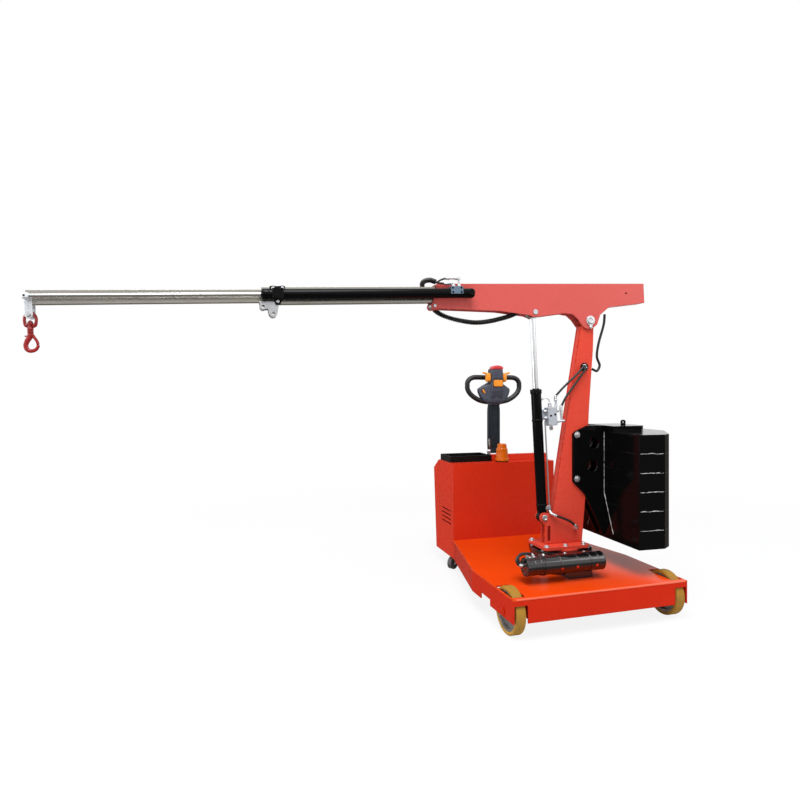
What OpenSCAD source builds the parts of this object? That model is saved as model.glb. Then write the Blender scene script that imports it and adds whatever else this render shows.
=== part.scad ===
// Battery-electric counterbalanced floor crane: a wheeled deck with a tiller-steered drive,
// a slewing column with a slab counterweight, and a luffing boom with one telescoping section.
// Millimetres, +Z up. X = Y = 0 is the slewing axis and Z = 0 is the floor. At rest the boom
// points along -X and the tiller stands at the +Y end.
// Its special feature is the self-locking swivel hook: a closed ring, a swivel neck, a hook
// with a bowl, and a jaw that hinges on a pin and shuts against the hook's point.

/* [Deck] */
// Height of the deck's top above the floor
deck_top = 206; // [196:1:216]
// Thickness of the deck plate
deck_plate = 8; // [5:1:10]
// Half the deck's width
deck_half = 495; // [490:1:520]
// Front edge of the deck, before the slewing axis
deck_front = 400; // [390:1:430]
// Where the deck's sides begin to taper, behind the slewing axis
taper_start = 80; // [40:5:120]
// Height of the skirt's lower edge
skirt_bottom = 88; // [70:1:95]
// Thickness of the skirt plates
skirt_plate = 5; // [4:0.5:6]
// Height of the strip left over each wheel slot
slot_strip = 25; // [15:1:30]
// Width of each wheel slot
slot_w = 70; // [66:1:72]
// Length of each wheel slot
slot_len = 180; // [176:1:184]
// Width of the deck's frame rails
rail_w = 50; // [30:5:60]

/* [Front wheels] */
// Diameter of the front wheels
wheel_d = 230; // [225:1:235]
// Width of the front tyres
tyre_w = 52; // [44:1:54]
// Radial thickness of the tyres
tyre_t = 18; // [12:1:24]
// Front axle, before the slewing axis
axle_y = 288; // [280:1:296]
// Diameter of the axle
axle_d = 25; // [20:1:30]
// Radial running clearance at pins and axles
run_gap = 0.05; // [0.02:0.01:0.1]

/* [Drive box] */
// Front face of the drive box, behind the slewing axis
box_front = 672; // [668:1:690]
// Half the width of the drive box
box_half = 370; // [365:1:380]
// Height of the drive box's top
box_top = 703; // [680:1:712]
// Where the top starts to fall away at the rear
box_rear = 950; // [940:1:970]
// Rear edge at the height of the lower bend
box_tail = 1047; // [1040:1:1060]
// Height of the lower bend at the rear
box_tail_z = 637; // [620:1:650]
// Rear edge at the bottom
box_rear_low = 994; // [990:1:1010]
// Number of cooling slots in the left side
louvre_count = 4; // [2:1:5]
// Length of each cooling slot
louvre_len = 170; // [120:5:180]
// Height of the tray and of the plinth on the box
tray_h = 42; // [30:1:44]
// Diameter of the beacon's lens
beacon_d = 74; // [60:1:78]
// Height of the beacon with its base
beacon_h = 122; // [90:1:140]

/* [Casters] */
// Diameter of the caster wheels
caster_d = 80; // [76:1:80]
// Width of the caster wheels
caster_w = 30; // [26:1:34]
// Trail of the casters
caster_trail = 55; // [48:1:56]
// Casters' pivots, behind the slewing axis
caster_y = 770; // [764:1:776]

/* [Drive and tiller] */
// Steering axis, behind the slewing axis
steer_y = 846; // [842:1:850]
// Diameter of the drive wheel
drive_d = 230; // [228:1:230]
// Width of the drive wheel
drive_w = 75; // [60:1:80]
// Radius of the steering post
post_r = 36; // [30:1:38]
// Height of the tiller's tilt axis
tilt_z = 762; // [758:1:766]
// Radius of the tilt pin
tilt_pin_r = 8; // [6:1:9]
// Width of the tiller's stem
stem_w = 72; // [64:1:80]
// Depth of the tiller's stem
stem_t = 36; // [32:1:42]
// Top of the stem, where the head begins
stem_top = 1083; // [1070:1:1090]
// Top of the tiller's head
head_top = 1340; // [1330:1:1345]
// Overall width over the grips
grip_span = 428; // [410:2:440]
// Diameter of the grips
grip_d = 32; // [28:1:34]

/* [Slewing drive] */
// Radius of the ring's housing
ring_r = 170; // [165:1:175]
// Height of the ring housing's top
ring_top = 318; // [312:1:320]
// Radius of the turntable's spindle
spindle_r = 110; // [100:1:115]
// Worm axis, before the slewing axis
worm_y = 225; // [223:1:228]
// Height of the worm axis
worm_z = 295; // [292:1:297]
// Radius of the worm's tube and of its motor
worm_r = 47; // [44:1:48]
// Left end of the slewing motor
motor_end = 343; // [336:1:350]

/* [Turntable and column] */
// Height of the turntable plate's underside
table_z = 325; // [323:1:328]
// Thickness of the turntable plate
table_t = 16; // [12:1:18]
// Half the turntable's length along the boom
table_half_x = 150; // [140:1:155]
// Half the turntable's width
table_half_y = 100; // [90:1:105]
// Chamfer on the turntable's corners
table_chamfer = 15; // [12:1:25]
// Overall width of the column
column_w = 50; // [48:1:52]
// Thickness of the column's plates
column_plate = 8; // [6:1:9]
// Lower luff pin, from the slewing axis towards the boom's tip
foot_x = 112; // [110:1:114]
// Height of the lower luff pin
foot_z = 487; // [485:1:489]
// Boom pivot, from the slewing axis towards the boom's tip
luff_x = -169; // [-171:1:-167]
// Height of the boom pivot
luff_z = 1577; // [1575:1:1579]
// Radius of the column's round head
column_head_r = 38; // [34:1:40]
// Radius of the cable hole in the column
grommet_r = 19; // [12:1:22]

/* [Counterweight] */
// Front face of the counterweight, behind the slewing axis on the boom's side
weight_front = 260; // [255:1:265]
// Half the counterweight's width
weight_half = 327; // [315:1:330]
// Rear face of the counterweight
weight_rear = 630; // [600:2:632]
// Half the width of the rear face
weight_tail = 80; // [70:1:85]
// Underside of the counterweight
weight_bottom = 358; // [356:1:361]
// Top of the uppermost slab
weight_top = 955; // [930:5:960]
// Number of slabs, in pairs
slab_pairs = 3; // [2:1:4]
// Thickness of the cheek plates that carry the counterweight
cheek_t = 12; // [10:1:14]

/* [Luff cylinder] */
// Diameter of the luff cylinder's barrel
luff_barrel_d = 56; // [54:1:58]
// Top of the barrel, along the cylinder from the lower pin
luff_barrel_top = 705; // [690:1:710]
// Diameter of the luff cylinder's rod
luff_rod_d = 30; // [28:1:32]
// Radius of the cylinder's lower pin
foot_pin_r = 12; // [10:1:13]
// Outer radius of the rod's eye
rod_eye_r = 37; // [36:1:38]
// Radius of the bore in the rod's eye, open for the link's play
rod_bore_r = 26; // [26:0.5:27]

/* [Boom] */
// Droop of the boom below level at rest, degrees
boom_droop = 3; // [2.9:0.1:3.1]
// Inside width of the boom's fork
boom_gap = 60; // [58:1:62]
// Thickness of the boom's side plates
boom_plate = 7; // [6:1:8]
// Height of the boom's top edge over its pivot
boom_top = 206; // [204:1:212]
// Rear end of the boom, behind its pivot
boom_rear = 367; // [350:1:370]
// Radius of the boom's pivot pin
luff_pin_r = 20; // [18:1:22]
// Radius of the pin in the rod's eye
rod_pin_r = 10; // [9:1:10]

/* [Telescope] */
// Height of the outer tube
outer_h = 80; // [78:1:82]
// Width of the outer tube
outer_w = 50; // [48:1:52]
// Wall of the outer tube
outer_t = 4; // [3:0.5:4]
// Height of the outer tube's centre over the boom's pivot
tube_z = 152; // [151:1:154]
// Rear end of the outer tube, along the boom
outer_start = 430; // [425:5:440]
// Front end of the outer tube, along the boom
outer_end = 1785; // [1780:1:1790]
// Height of the inner tube
inner_h = 60; // [58:1:62]
// Width of the inner tube
inner_w = 38; // [36:1:39]
// Wall of the inner tube
inner_t = 4; // [3:0.5:5]
// Rear end of the inner tube, along the boom
inner_start = 1440; // [1435:5:1450]
// Front end of the inner tube, along the boom
inner_end = 2768; // [2760:1:2774]
// Height of the wear pads' play above and below the inner tube
pad_gap = 0.3; // [0.2:0.1:0.5]
// Distance from the boom's middle plane to the telescope cylinder's axis
ram_y = 65; // [64:1:67]
// Diameter of the telescope cylinder's barrel
ram_d = 50; // [46:1:50]
// Rear end of the telescope cylinder, along the boom
ram_start = 715; // [705:5:720]
// Diameter of the telescope cylinder's rod
ram_rod_d = 18; // [16:1:20]

/* [Hook] */
// Hook bolt, along the boom
bolt_x = 2759; // [2756:1:2760]
// Hook bolt, over the boom's pivot
bolt_z = 76.5; // [75:0.5:78]
// Radius of the hook bolt
bolt_r = 6; // [5:0.5:6.5]
// Inner radius of the hook's ring
link_r = 20; // [18:1:21]
// Thickness of the hook's ring
link_t = 11; // [10:1:12]
// Height of the hook's body below its neck
hook_h = 94; // [84:1:96]
// Width of the hook's bowl
hook_w = 64; // [60:1:66]
// Thickness of the hook's bowl
hook_t = 15; // [12:1:17]

/* [Hidden] */
// Distance from the middle to each caster's pivot
caster_x = box_half - 70;
$fn = 48;
red = [0.86, 0.16, 0.08];
black = [0.07, 0.07, 0.08];
zinc = [0.72, 0.74, 0.76];
orange = [0.95, 0.45, 0.08];

slot_x0 = deck_half - 75;
wheel_x = deck_half - 40;
bay_x = slot_x0 - 25;
under = deck_top - deck_plate;
wheel_r = wheel_d / 2;
slab_t = (weight_top - weight_bottom) / (2 * slab_pairs);
luff_rod_start = luff_barrel_top - 380;
boom_w = boom_gap + 2 * boom_plate;
// pin in the rod's eye, on the boom, and the cylinder's line from the lower pin to it
rod_x = 342;
rod_z = 53;
ram_dx = luff_x + rod_x * cos(boom_droop) + rod_z * sin(boom_droop) - foot_x;
ram_dz = luff_z - rod_x * sin(boom_droop) + rod_z * cos(boom_droop) - foot_z;
luff_len = sqrt(ram_dx * ram_dx + ram_dz * ram_dz);
luff_lean = atan2(ram_dx, ram_dz);

// ---- helpers ----
module turned() { rotate([0, 0, 180]) children(); }
module on_boom() {
  turned() translate([luff_x, 0, luff_z]) rotate([0, boom_droop, 0]) children();
}
module on_ram() {
  turned() translate([foot_x, 0, foot_z]) rotate([0, luff_lean, 0]) children();
}
module on_hook() {
  c = cos(boom_droop);
  s = sin(boom_droop);
  turned() translate([luff_x + bolt_x * c + bolt_z * s, 0, luff_z - bolt_x * s + bolt_z * c])
    children();
}
module side(y0, y1) { translate([0, y1, 0]) rotate([90, 0, 0]) linear_extrude(y1 - y0) children(); }
module along_y(x, z, r, y0, y1) {
  translate([x, y0, z]) rotate([-90, 0, 0]) cylinder(h = y1 - y0, r = r);
}
module along_x(y, z, r, x0, x1) {
  translate([x0, y, z]) rotate([0, 90, 0]) cylinder(h = x1 - x0, r = r);
}
module block(x0, x1, y0, y1, z0, z1) { translate([x0, y0, z0]) cube([x1 - x0, y1 - y0, z1 - z0]); }
// a round bar between two points
module bar(a, b, r) {
  d = b - a;
  translate(a) rotate([0, acos(d[2] / norm(d)), atan2(d[1], d[0])]) cylinder(h = norm(d), r = r);
}
module both_x() { children(); mirror([1, 0, 0]) children(); }
module both_y() { children(); mirror([0, 1, 0]) children(); }

// A smooth curve through hand-set points, m steps to each stretch.
function blend(a, b, c, d, t) = 0.5 * ((2 * b) + (c - a) * t + (2 * a - 5 * b + 4 * c - d) * t * t
  + (3 * b - a - 3 * c + d) * t * t * t);
function curve(p, m) = [
  for (i = [0 : len(p) - 2]) for (k = [0 : m - 1])
    blend(p[max(i - 1, 0)], p[i], p[i + 1], p[min(i + 2, len(p) - 1)], k / m),
  p[len(p) - 1]];
function unit(v) = v / norm(v);
function heading(p, i) = unit(p[min(i + 1, len(p) - 1)] - p[max(i - 1, 0)]);
function loop_at(c, t, ref, r, n) =
  let (s = unit(cross(t, ref)), u = cross(s, t))
  [for (k = [0 : n - 1]) c + r * (cos(360 * k / n) * s + sin(360 * k / n) * u)];
module tube(p, r, ref, n = 10) {
  m = len(p);
  polyhedron(
    points = [for (i = [0 : m - 1]) for (q = loop_at(p[i], heading(p, i), ref, r, n)) q],
    faces = concat(
      [[for (k = [n - 1 : -1 : 0]) k]],
      [for (i = [0 : m - 2]) for (k = [0 : n - 1])
        [i * n + k, i * n + (k + 1) % n, (i + 1) * n + (k + 1) % n]],
      [for (i = [0 : m - 2]) for (k = [0 : n - 1])
        [i * n + k, (i + 1) * n + (k + 1) % n, (i + 1) * n + k]],
      [[for (k = [0 : n - 1]) (m - 1) * n + k]]));
}

// ---- deck ----
module deck_outline(inset) {
  w = deck_half - inset;
  b = box_half - inset;
  polygon([[-w, -deck_front + inset], [w, -deck_front + inset], [w, taper_start],
    [b, box_front], [-b, box_front], [-w, taper_start]]);
}
module wheel_slots() {
  both_x() translate([slot_x0, -axle_y - slot_len / 2 + 4]) square([slot_w, slot_len]);
}
module deck() color(red) {
  translate([0, 0, under]) linear_extrude(deck_plate) difference() {
    deck_outline(0);
    wheel_slots();
  }
}
module skirts() color(red) {
  difference() {
    translate([0, 0, skirt_bottom]) linear_extrude(under - skirt_bottom) difference() {
      deck_outline(0);
      deck_outline(skirt_plate);
    }
    // wheel openings in the front panel, under the strips
    both_x() block(slot_x0, slot_x0 + slot_w, -deck_front - 1, -deck_front + 20,
      skirt_bottom - 1, deck_top - slot_strip - 8);
    // stepped underside of the side skirts
    both_x() block(deck_half - 40, deck_half + 5, -144, -34, skirt_bottom - 1, 120);
    both_x() along_x(400, 110, 5, 380, 470);
    // open to the drive box at the rear
    block(-box_half + skirt_plate, box_half - skirt_plate, box_front - 20, box_front + 5,
      skirt_bottom - 1, under + 1);
    // axle holes
    both_x() along_x(-axle_y, wheel_r, axle_d / 2, deck_half - 40, deck_half + 5);
  }
}
rail_x = 200;
rail_low = 130;
rail_wall = 5;
module frame_rails() color(red) {
  t = rail_wall;
  // wheel bays
  both_x() block(bay_x - 8, bay_x, -deck_front + skirt_plate, -120, skirt_bottom, under);
  // longitudinal rails and cross members, of box section
  difference() {
    union() {
      both_x() block(rail_x, rail_x + rail_w, -deck_front + skirt_plate, box_front, rail_low, under);
      for (y = [-160, 110]) block(-bay_x + 8, bay_x - 8, y, y + 50, rail_low, under);
    }
    both_x() block(rail_x + t, rail_x + rail_w - t, -deck_front + skirt_plate + t, box_front - t,
      rail_low + t, under - t);
    for (y = [-160, 110])
      block(-bay_x + 8 + t, bay_x - 8 - t, y + t, y + 50 - t, rail_low + t, under - t);
  }
  difference() {
    block(-bay_x + 8, bay_x - 8, -axle_y - 30, -axle_y + 30, 85, 145);
    block(-bay_x, bay_x, -axle_y - 24, -axle_y + 24, 91, 139);
  }
  // axle stubs
  both_x() along_x(-axle_y, wheel_r, axle_d / 2, bay_x, deck_half + 1);
  both_x() along_x(-axle_y, wheel_r, axle_d / 2 + 7, deck_half, deck_half + 6);
  // shelves for the casters
  both_x() block(caster_x - 42, box_half - skirt_plate, caster_y - 45, caster_y + 45, 112, 120);
  both_x() block(box_half - skirt_plate - 10, box_half - skirt_plate, caster_y - 45,
    caster_y + 45, 112, 160);
  // bridge that carries the drive unit
  difference() {
    block(-box_half + skirt_plate, box_half - skirt_plate, steer_y - 85, steer_y + 85, 488, 498);
    translate([0, steer_y, 480]) cylinder(h = 30, r = 60 + run_gap);
  }
}

// ---- drive box ----
module box_profile(t) {
  polygon([[box_front + t, skirt_bottom - 2], [box_front + t, box_top - t],
    [box_rear - t * 0.4, box_top - t], [box_tail - t, box_tail_z - t * 0.6],
    [box_rear_low - t, skirt_bottom - 2]]);
}
module across(w) {
  translate([-w, 0, 0]) rotate([90, 0, 90]) linear_extrude(2 * w) children();
}
module drive_housing() color(red) {
  difference() {
    across(box_half) box_profile(0);
    translate([0, 0, -1]) across(box_half - skirt_plate) box_profile(skirt_plate);
    translate([0, 0, -20]) across(box_half - skirt_plate) box_profile(skirt_plate);
    // way through to the deck's frame
    block(-box_half + skirt_plate, box_half - skirt_plate, box_front - 1, box_front + 20, 80, under);
    // cooling slots in the left side
    for (i = [0 : louvre_count - 1])
      block(-box_half - 1, -box_half + 20, 715, 715 + louvre_len, 298 + 28 * i, 306 + 28 * i);
    translate([0, steer_y, box_top - 30]) cylinder(h = 60, r = post_r + 5);
  }
}
module top_tray() color(black) {
  difference() {
    block(-box_half + 10, -60, box_front + 80, box_rear - 12, box_top, box_top + tray_h - 1);
    block(-box_half + 15, -65, box_front + 85, box_rear - 17, box_top + 4, box_top + tray_h);
  }
}
module tiller_plinth() color(red) {
  translate([-50, 0, 0]) rotate([90, 0, 90]) linear_extrude(box_half + 50)
    polygon([[766, box_top], [776, box_top + tray_h], [802, box_top + tray_h], [802, box_top]]);
}
beacon_y = 716;
beacon_foot = 6;
module beacon_base() color(black) {
  translate([0, beacon_y, box_top]) cylinder(h = beacon_foot, d = beacon_d + 12);
}
module beacon_lens() color(orange) translate([0, beacon_y, box_top + beacon_foot]) {
  r = beacon_d / 2;
  h = beacon_h - beacon_foot;
  rotate_extrude() polygon([[0, 0], [r + 10, 0], [r + 9, 16], [r + 3, 26], [r + 2, 34], [r + 1, h - 40],
    [r - 4, h - 32], [r - 9, h - 30], [r - 10, h - 6], [r - 16, h], [0, h]]);
}

// ---- slewing drive ----
// ends of the worm's tube
worm_left = 250;
worm_right = 102;
module slew_housing() color(black) {
  difference() {
    union() {
      translate([0, 0, deck_top]) cylinder(h = ring_top - deck_top, r = ring_r - 6);
      translate([0, 0, deck_top]) cylinder(h = 16, r = ring_r);
      translate([0, 0, ring_top - 22]) cylinder(h = 22, r = ring_r);
      block(-95, 75, -worm_y, -80, worm_z - worm_r, ring_top);
      along_x(-worm_y, worm_z, worm_r, -worm_left, worm_right);
      for (x = [-worm_left, -160, 14]) along_x(-worm_y, worm_z, worm_r + 3, x, x + 11);
      block(-80, 60, -worm_y + 12, -worm_y + 60, deck_top, worm_z);
    }
    translate([0, 0, deck_top + 14]) cylinder(h = 200, r = spindle_r + run_gap);
  }
}
module slew_motor() color(black) {
  along_x(-worm_y, worm_z, worm_r, -worm_left - 14, -worm_left);
  along_x(-worm_y, worm_z, worm_r - 3, -motor_end + 22, -worm_left - 14);
  along_x(-worm_y, worm_z, worm_r - 1, -motor_end, -motor_end + 22);
  block(-312, -worm_left - 2, -worm_y + 30, -worm_y + 76, worm_z - 24, worm_z + 24);
}
module motor_hose() color(black) {
  tube(concat([[-262, -worm_y + 60, worm_z + 24.3]], curve([[-262, -165, worm_z + 33], [-280, -165, 341],
    [-312, -167, 345], [-348, -176, 339], [-368, -187, 320], [-362, -196, 302], [-350, -200, 295]], 3),
    [[-motor_end - 0.3, -200, 295]]), 7, [0.1, 1, 0.15], 8);
}

// ---- wheels ----
module wheel() {
  difference() {
    rotate([0, 90, 0]) cylinder(h = tyre_w - 6, r = wheel_r - tyre_t, center = true);
    both_x() translate([5, 0, 0]) rotate([0, 90, 0])
      cylinder(h = tyre_w, r1 = wheel_r - tyre_t - 14, r2 = wheel_r - tyre_t - 2);
    rotate([0, 90, 0]) cylinder(h = 100, r = axle_d / 2 + run_gap, center = true);
    for (a = [0 : 72 : 288]) rotate([a, 0, 0]) translate([0, 0, 52]) rotate([0, 90, 0])
      cylinder(h = 100, r = 15, center = true);
  }
  difference() {
    rotate([0, 90, 0]) cylinder(h = tyre_w - 2, r = 30, center = true);
    rotate([0, 90, 0]) cylinder(h = 100, r = axle_d / 2 + run_gap, center = true);
  }
}
module tyre() {
  difference() {
    rotate([0, 90, 0]) cylinder(h = tyre_w, r = wheel_r, center = true);
    rotate([0, 90, 0]) cylinder(h = tyre_w + 2, r = wheel_r - tyre_t, center = true);
  }
}
module wheel_left() color(zinc) translate([-wheel_x, -axle_y, wheel_r]) wheel();
module tyre_left() color([0.55, 0.45, 0.28]) translate([-wheel_x, -axle_y, wheel_r]) tyre();
module wheel_right() color(zinc) translate([wheel_x, -axle_y, wheel_r]) wheel();
module tyre_right() color([0.55, 0.45, 0.28]) translate([wheel_x, -axle_y, wheel_r]) tyre();

// ---- casters: the trail runs along -Y here, and turns with trail_turn ----
trail_turn = 59;
module caster_place(s) {
  translate([s * caster_x, caster_y, 0]) rotate([0, 0, s * trail_turn]) children();
}
module caster_fork() {
  r = caster_d / 2;
  translate([0, 0, 104]) cylinder(h = 8 - run_gap, r = 30);
  translate([0, 0, 94]) cylinder(h = 11, r = 22);
  block(-caster_w / 2 - 6, caster_w / 2 + 6, -30, 22, 88, 94);
  for (s = [-1, 1]) side_x(s * (caster_w / 2 + 4.5) - 1.5, s * (caster_w / 2 + 4.5) + 1.5)
    polygon([[22, 90], [-30, 90], [-caster_trail - 11, r], [-caster_trail - 7, r - 9],
      [-caster_trail + 7, r - 9], [-caster_trail + 12, r]]);
  along_x(-caster_trail, r, 5, -caster_w / 2 - 9, caster_w / 2 + 9);
}
module side_x(x0, x1) { translate([x0, 0, 0]) rotate([90, 0, 90]) linear_extrude(x1 - x0) children(); }
module caster_wheel() {
  r = caster_d / 2;
  difference() {
    along_x(-caster_trail, r, r, -caster_w / 2, caster_w / 2);
    along_x(-caster_trail, r, 5 + run_gap, -caster_w, caster_w);
  }
}
module caster_fork_left() color(zinc) caster_place(-1) caster_fork();
module caster_wheel_left() color(black) caster_place(-1) caster_wheel();
module caster_fork_right() color(zinc) caster_place(1) caster_fork();
module caster_wheel_right() color(black) caster_place(1) caster_wheel();

// ---- drive unit and tiller ----
module drive_unit() color(black) translate([0, steer_y, 0]) {
  along_x(0, drive_d / 2, drive_d / 2, -drive_w / 2, drive_w / 2);
  along_x(0, drive_d / 2, 40, -75, 60);
  block(44, 76, -55, 55, 70, 300);
  block(-76, 76, -60, 60, 262, 300);
  translate([0, 0, 300]) cylinder(h = 150, r = 78);
  translate([0, 0, 450]) cylinder(h = 90, r = 60);
  translate([0, 0, 540]) cylinder(h = box_top - 540, r = post_r - 8);
}
module steering_post() color(zinc) translate([0, steer_y, 0]) {
  translate([0, 0, box_top]) cylinder(h = 25, r = post_r);
  for (s = [-1, 1]) side_x(s * 35.5 - 5.5, s * 35.5 + 5.5) {
    translate([0, tilt_z]) circle(r = 17);
    translate([-17, box_top + 5]) square([34, tilt_z - box_top - 5]);
  }
  translate([0, 0, box_top + 4]) cylinder(h = 20, r = 43);
  along_x(0, tilt_z, tilt_pin_r, -41, 41);
}
module tiller_stem() color(black) translate([0, steer_y, 0]) {
  difference() {
    union() {
      along_x(0, tilt_z, 16, -28, 28);
      across(27) polygon([[-15, tilt_z], [15, tilt_z], [stem_t / 2 - 5, 850], [-stem_t / 2 + 5, 850]]);
      side(-stem_t / 2, stem_t / 2) polygon([[-27, 800], [27, 800], [stem_w / 2, 880],
        [stem_w / 2, stem_top], [-stem_w / 2, stem_top], [-stem_w / 2, 880]]);
    }
    along_x(0, tilt_z, tilt_pin_r + run_gap, -60, 60);
    side(-40, -stem_t / 2 + 3) polygon([[-25, 900], [25, 900], [25, 1060], [-25, 1060]]);
  }
}
module head_outline() {
  right = [[stem_w / 2, stem_top], [44, 1098], [80, 1106], [96, 1126], [112, 1164], [122, 1188],
    [118, 1198], [104, 1208], [52, 1236], [head_half, 1246], [head_half, head_top - 6],
    [head_half - 5, head_top]];
  n = len(right);
  polygon(concat(right, [for (i = [1 : n]) [-right[n - i][0], right[n - i][1]]]));
}
// the hub stands forward of the loops
module head_profile() {
  polygon([[-30, stem_top], [-45, 1110], [-70, 1180], [-73, 1215], [-73, head_top - 6],
    [-68, head_top], [2, head_top], [6, head_top - 6], [8, 1230], [20, 1180], [20, 1100],
    [stem_t / 2, stem_top]]);
}
head_half = 41;
module tiller_head() color([0.2, 0.2, 0.22]) translate([0, steer_y, 0]) difference() {
  intersection() {
    side(-100, 100) head_outline();
    across(150) head_profile();
  }
  // the wings are thinner than the hub, in two steps
  both_x() block(52, 140, -100, -24, 1090, 1300);
  both_x() block(head_half, 53, -100, -50, 1090, 1300);
}
// the loop runs from the head's side out, round and back in lower down
function grip_line() = [[38, 0, 1274], [80, 0, 1275], [128, 0, 1276], [158, 0, 1273], [182, 0, 1261],
  [grip_span / 2 - 18, 0, 1241], [grip_span / 2 - grip_d / 2, 0, 1218], [grip_span / 2 - 18, 0, 1194],
  [182, 0, 1168], [158, 0, 1145], [128, 0, 1126], [96, 0, 1113], [48, 0, 1104]];
module tiller_grips() color(black) translate([0, steer_y, 0]) difference() {
  both_x() tube(curve(grip_line(), 2), grip_d / 2, [0, 1, 0], 12);
  side(-40, 40) head_outline();
}
// thumb switches on the hub's sides, in front of the loops, with an ear at the top
module thumb_switches() color(orange) translate([0, steer_y, 0]) both_x() {
  block(head_half + 0.3, 76, -56, -20, 1247, 1304);
  block(60, 107, -50, -34, 1298, 1310);
}
module belly_button() color("red") translate([0, steer_y, 0]) side(-70, -14) intersection() {
  translate([0, head_top - 53]) circle(r = 70);
  translate([-head_half - 1, head_top]) square([2 * head_half + 2, 40]);
}

// ---- turntable and column ----
// the plate ends just behind the column
table_back = table_half_x - 24;
module turntable() color(red) turned() {
  c = table_chamfer;
  translate([0, 0, table_z]) linear_extrude(table_t) polygon([
    [-table_back + c, -table_half_y], [table_half_x - c, -table_half_y],
    [table_half_x, -table_half_y + c], [table_half_x, table_half_y - c],
    [table_half_x - c, table_half_y], [-table_back + c, table_half_y],
    [-table_back, table_half_y - c], [-table_back, -table_half_y + c]]);
  translate([0, 0, deck_top + 20]) cylinder(h = table_z - deck_top - 20, r = spindle_r);
}
module column_side() {
  polygon([[-124, table_z + table_t], [foot_x - 4, table_z + table_t], [foot_x - 9, 441],
    [foot_x + 26, foot_z - 10], [foot_x + 26, foot_z + 10], [foot_x, foot_z + 27], [66, 508],
    [56, 527], [-121, 1546], [-136, luff_z + 10], [-199, luff_z + 10], [-199, 1542], [-195, 1413],
    [-186, 1300], [-169, 1075], [-147, 599], [-124, 349]]);
  translate([foot_x, foot_z]) circle(r = 28);
  translate([luff_x, luff_z]) circle(r = column_head_r);
}
module column() color(red) turned() {
  w = column_w / 2;
  t = column_plate;
  difference() {
    union() {
      side(w - t, w) column_side();
      side(-w, -w + t) column_side();
      // front web, from above the cylinder's foot up to the head
      side(-w + t, w - t) polygon([[56, 527], [-121, 1546], [-131, 1546], [46, 527]]);
      // rear web
      side(-w + t, w - t) polygon([[-124, 349], [-147, 599], [-169, 1075], [-186, 1300],
        [-195, 1413], [-199, 1542], [-189, 1542], [-185, 1413], [-176, 1300], [-159, 1075],
        [-137, 599], [-114, 349]]);
      // closing plates
      block(-124, 40, -w + t, w - t, table_z + table_t, 349);
      side(-w + t, w - t) polygon([[56, 527], [46, 527], [10, 440], [16, 436]]);
      along_y(luff_x, luff_z, column_head_r, -w, w);
    }
    along_y(luff_x, luff_z, luff_pin_r + run_gap, -w - 1, w + 1);
    along_y(foot_x, foot_z, foot_pin_r, -w - 1, w + 1);
    along_y(-138, 1316, grommet_r, w - t - 1, w + 1);
    // upright slot under the cylinder's foot
    block(74, 92, -w - 1, w + 1, 362, 432);
    for (z = [362, 432]) along_y(83, z, 9, -w - 1, w + 1);
  }
}
module foot_pin() color(zinc) turned() {
  along_y(foot_x, foot_z, foot_pin_r, -column_w / 2 - 4, column_w / 2 + 4);
  along_y(foot_x, foot_z, foot_pin_r + 4, column_w / 2, column_w / 2 + 5);
  along_y(foot_x, foot_z, foot_pin_r + 4, -column_w / 2 - 5, -column_w / 2);
}
module grommet() color(black) turned() {
  w = column_w / 2;
  along_y(-138, 1316, grommet_r, w - column_plate, w);
  along_y(-138, 1316, grommet_r + 5, w, w + 4);
}
module cheek_plates() color(black) turned() {
  y0 = column_w / 2;
  both_y() side(y0, y0 + cheek_t) difference() {
    polygon([[-60, weight_top - 12], [-60, 678], [-137, 604], [-weight_front + 3, 365],
      [-weight_front, 365], [-weight_front, cover_top], [-150, cover_top], [-78, weight_top + 3]]);
    translate([-195, 890]) circle(r = 33);
    translate([-185, 762]) circle(r = 33);
  }
}

// ---- counterweight ----
cover_h = 33;
cover_top = weight_top + cover_h;
module weight_outline() {
  polygon([[-weight_front, weight_half], [-414, weight_half + 8], [-470, 300],
    [-weight_rear, weight_tail], [-weight_rear, -weight_tail], [-470, -300],
    [-414, -weight_half - 8], [-weight_front, -weight_half]]);
}
module slabs(first) {
  turned() for (i = [first : 2 : 2 * slab_pairs - 1])
    translate([0, 0, weight_bottom + i * slab_t]) linear_extrude(slab_t) weight_outline();
}
module weight_slabs_a() color(black) slabs(0);
module weight_slabs_b() color(black) slabs(1);
module weight_cover() color(black) turned() {
  translate([0, 0, weight_top]) linear_extrude(cover_h)
    polygon([[-weight_front - 3, -120], [-446, -120], [-480, -88], [-480, 88], [-446, 120],
      [-weight_front - 3, 120]]);
}
module lifting_eye() color(zinc) turned() {
  translate([-414, 0, cover_top]) cylinder(h = 6, r = 14);
  difference() {
    along_y(-414, cover_top + 14, 14, -6, 6);
    along_y(-414, cover_top + 14, 7, -7, 7);
  }
}

// ---- hoses between the column and what it carries ----
function on_ram_pt(x, y, z) = [foot_x + x * cos(luff_lean) + z * sin(luff_lean), y,
  foot_z - x * sin(luff_lean) + z * cos(luff_lean)];
hose_y = column_w / 2 + 4;
module valve_hose_near() color(black) turned()
  tube(concat([[-134, hose_y, 1323]], curve([[-134, 36, 1323], [-118, 46, 1316], [-84, 52, 1284],
    [-44, 52, 1249], [0, 48, 1210], [34, 42, 1174], on_ram_pt(-97, 38, 660)], 2),
    [on_ram_pt(-97, 38, 636.3)]), 6, [0.2, 0.3, 1], 8);
module valve_hose_far() color(black) turned()
  tube(concat([[-143, hose_y, 1310]], curve([[-143, 35, 1310], [-130, 42, 1296], [-90, 44, 1248],
    [-51, 44, 1199], [-12, 42, 1150], [10, 40, 1110], on_ram_pt(-128, 38, 600)], 2),
    [on_ram_pt(-128, 38, 577.3)]), 6, [1, 0.3, 0.1], 8);
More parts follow.
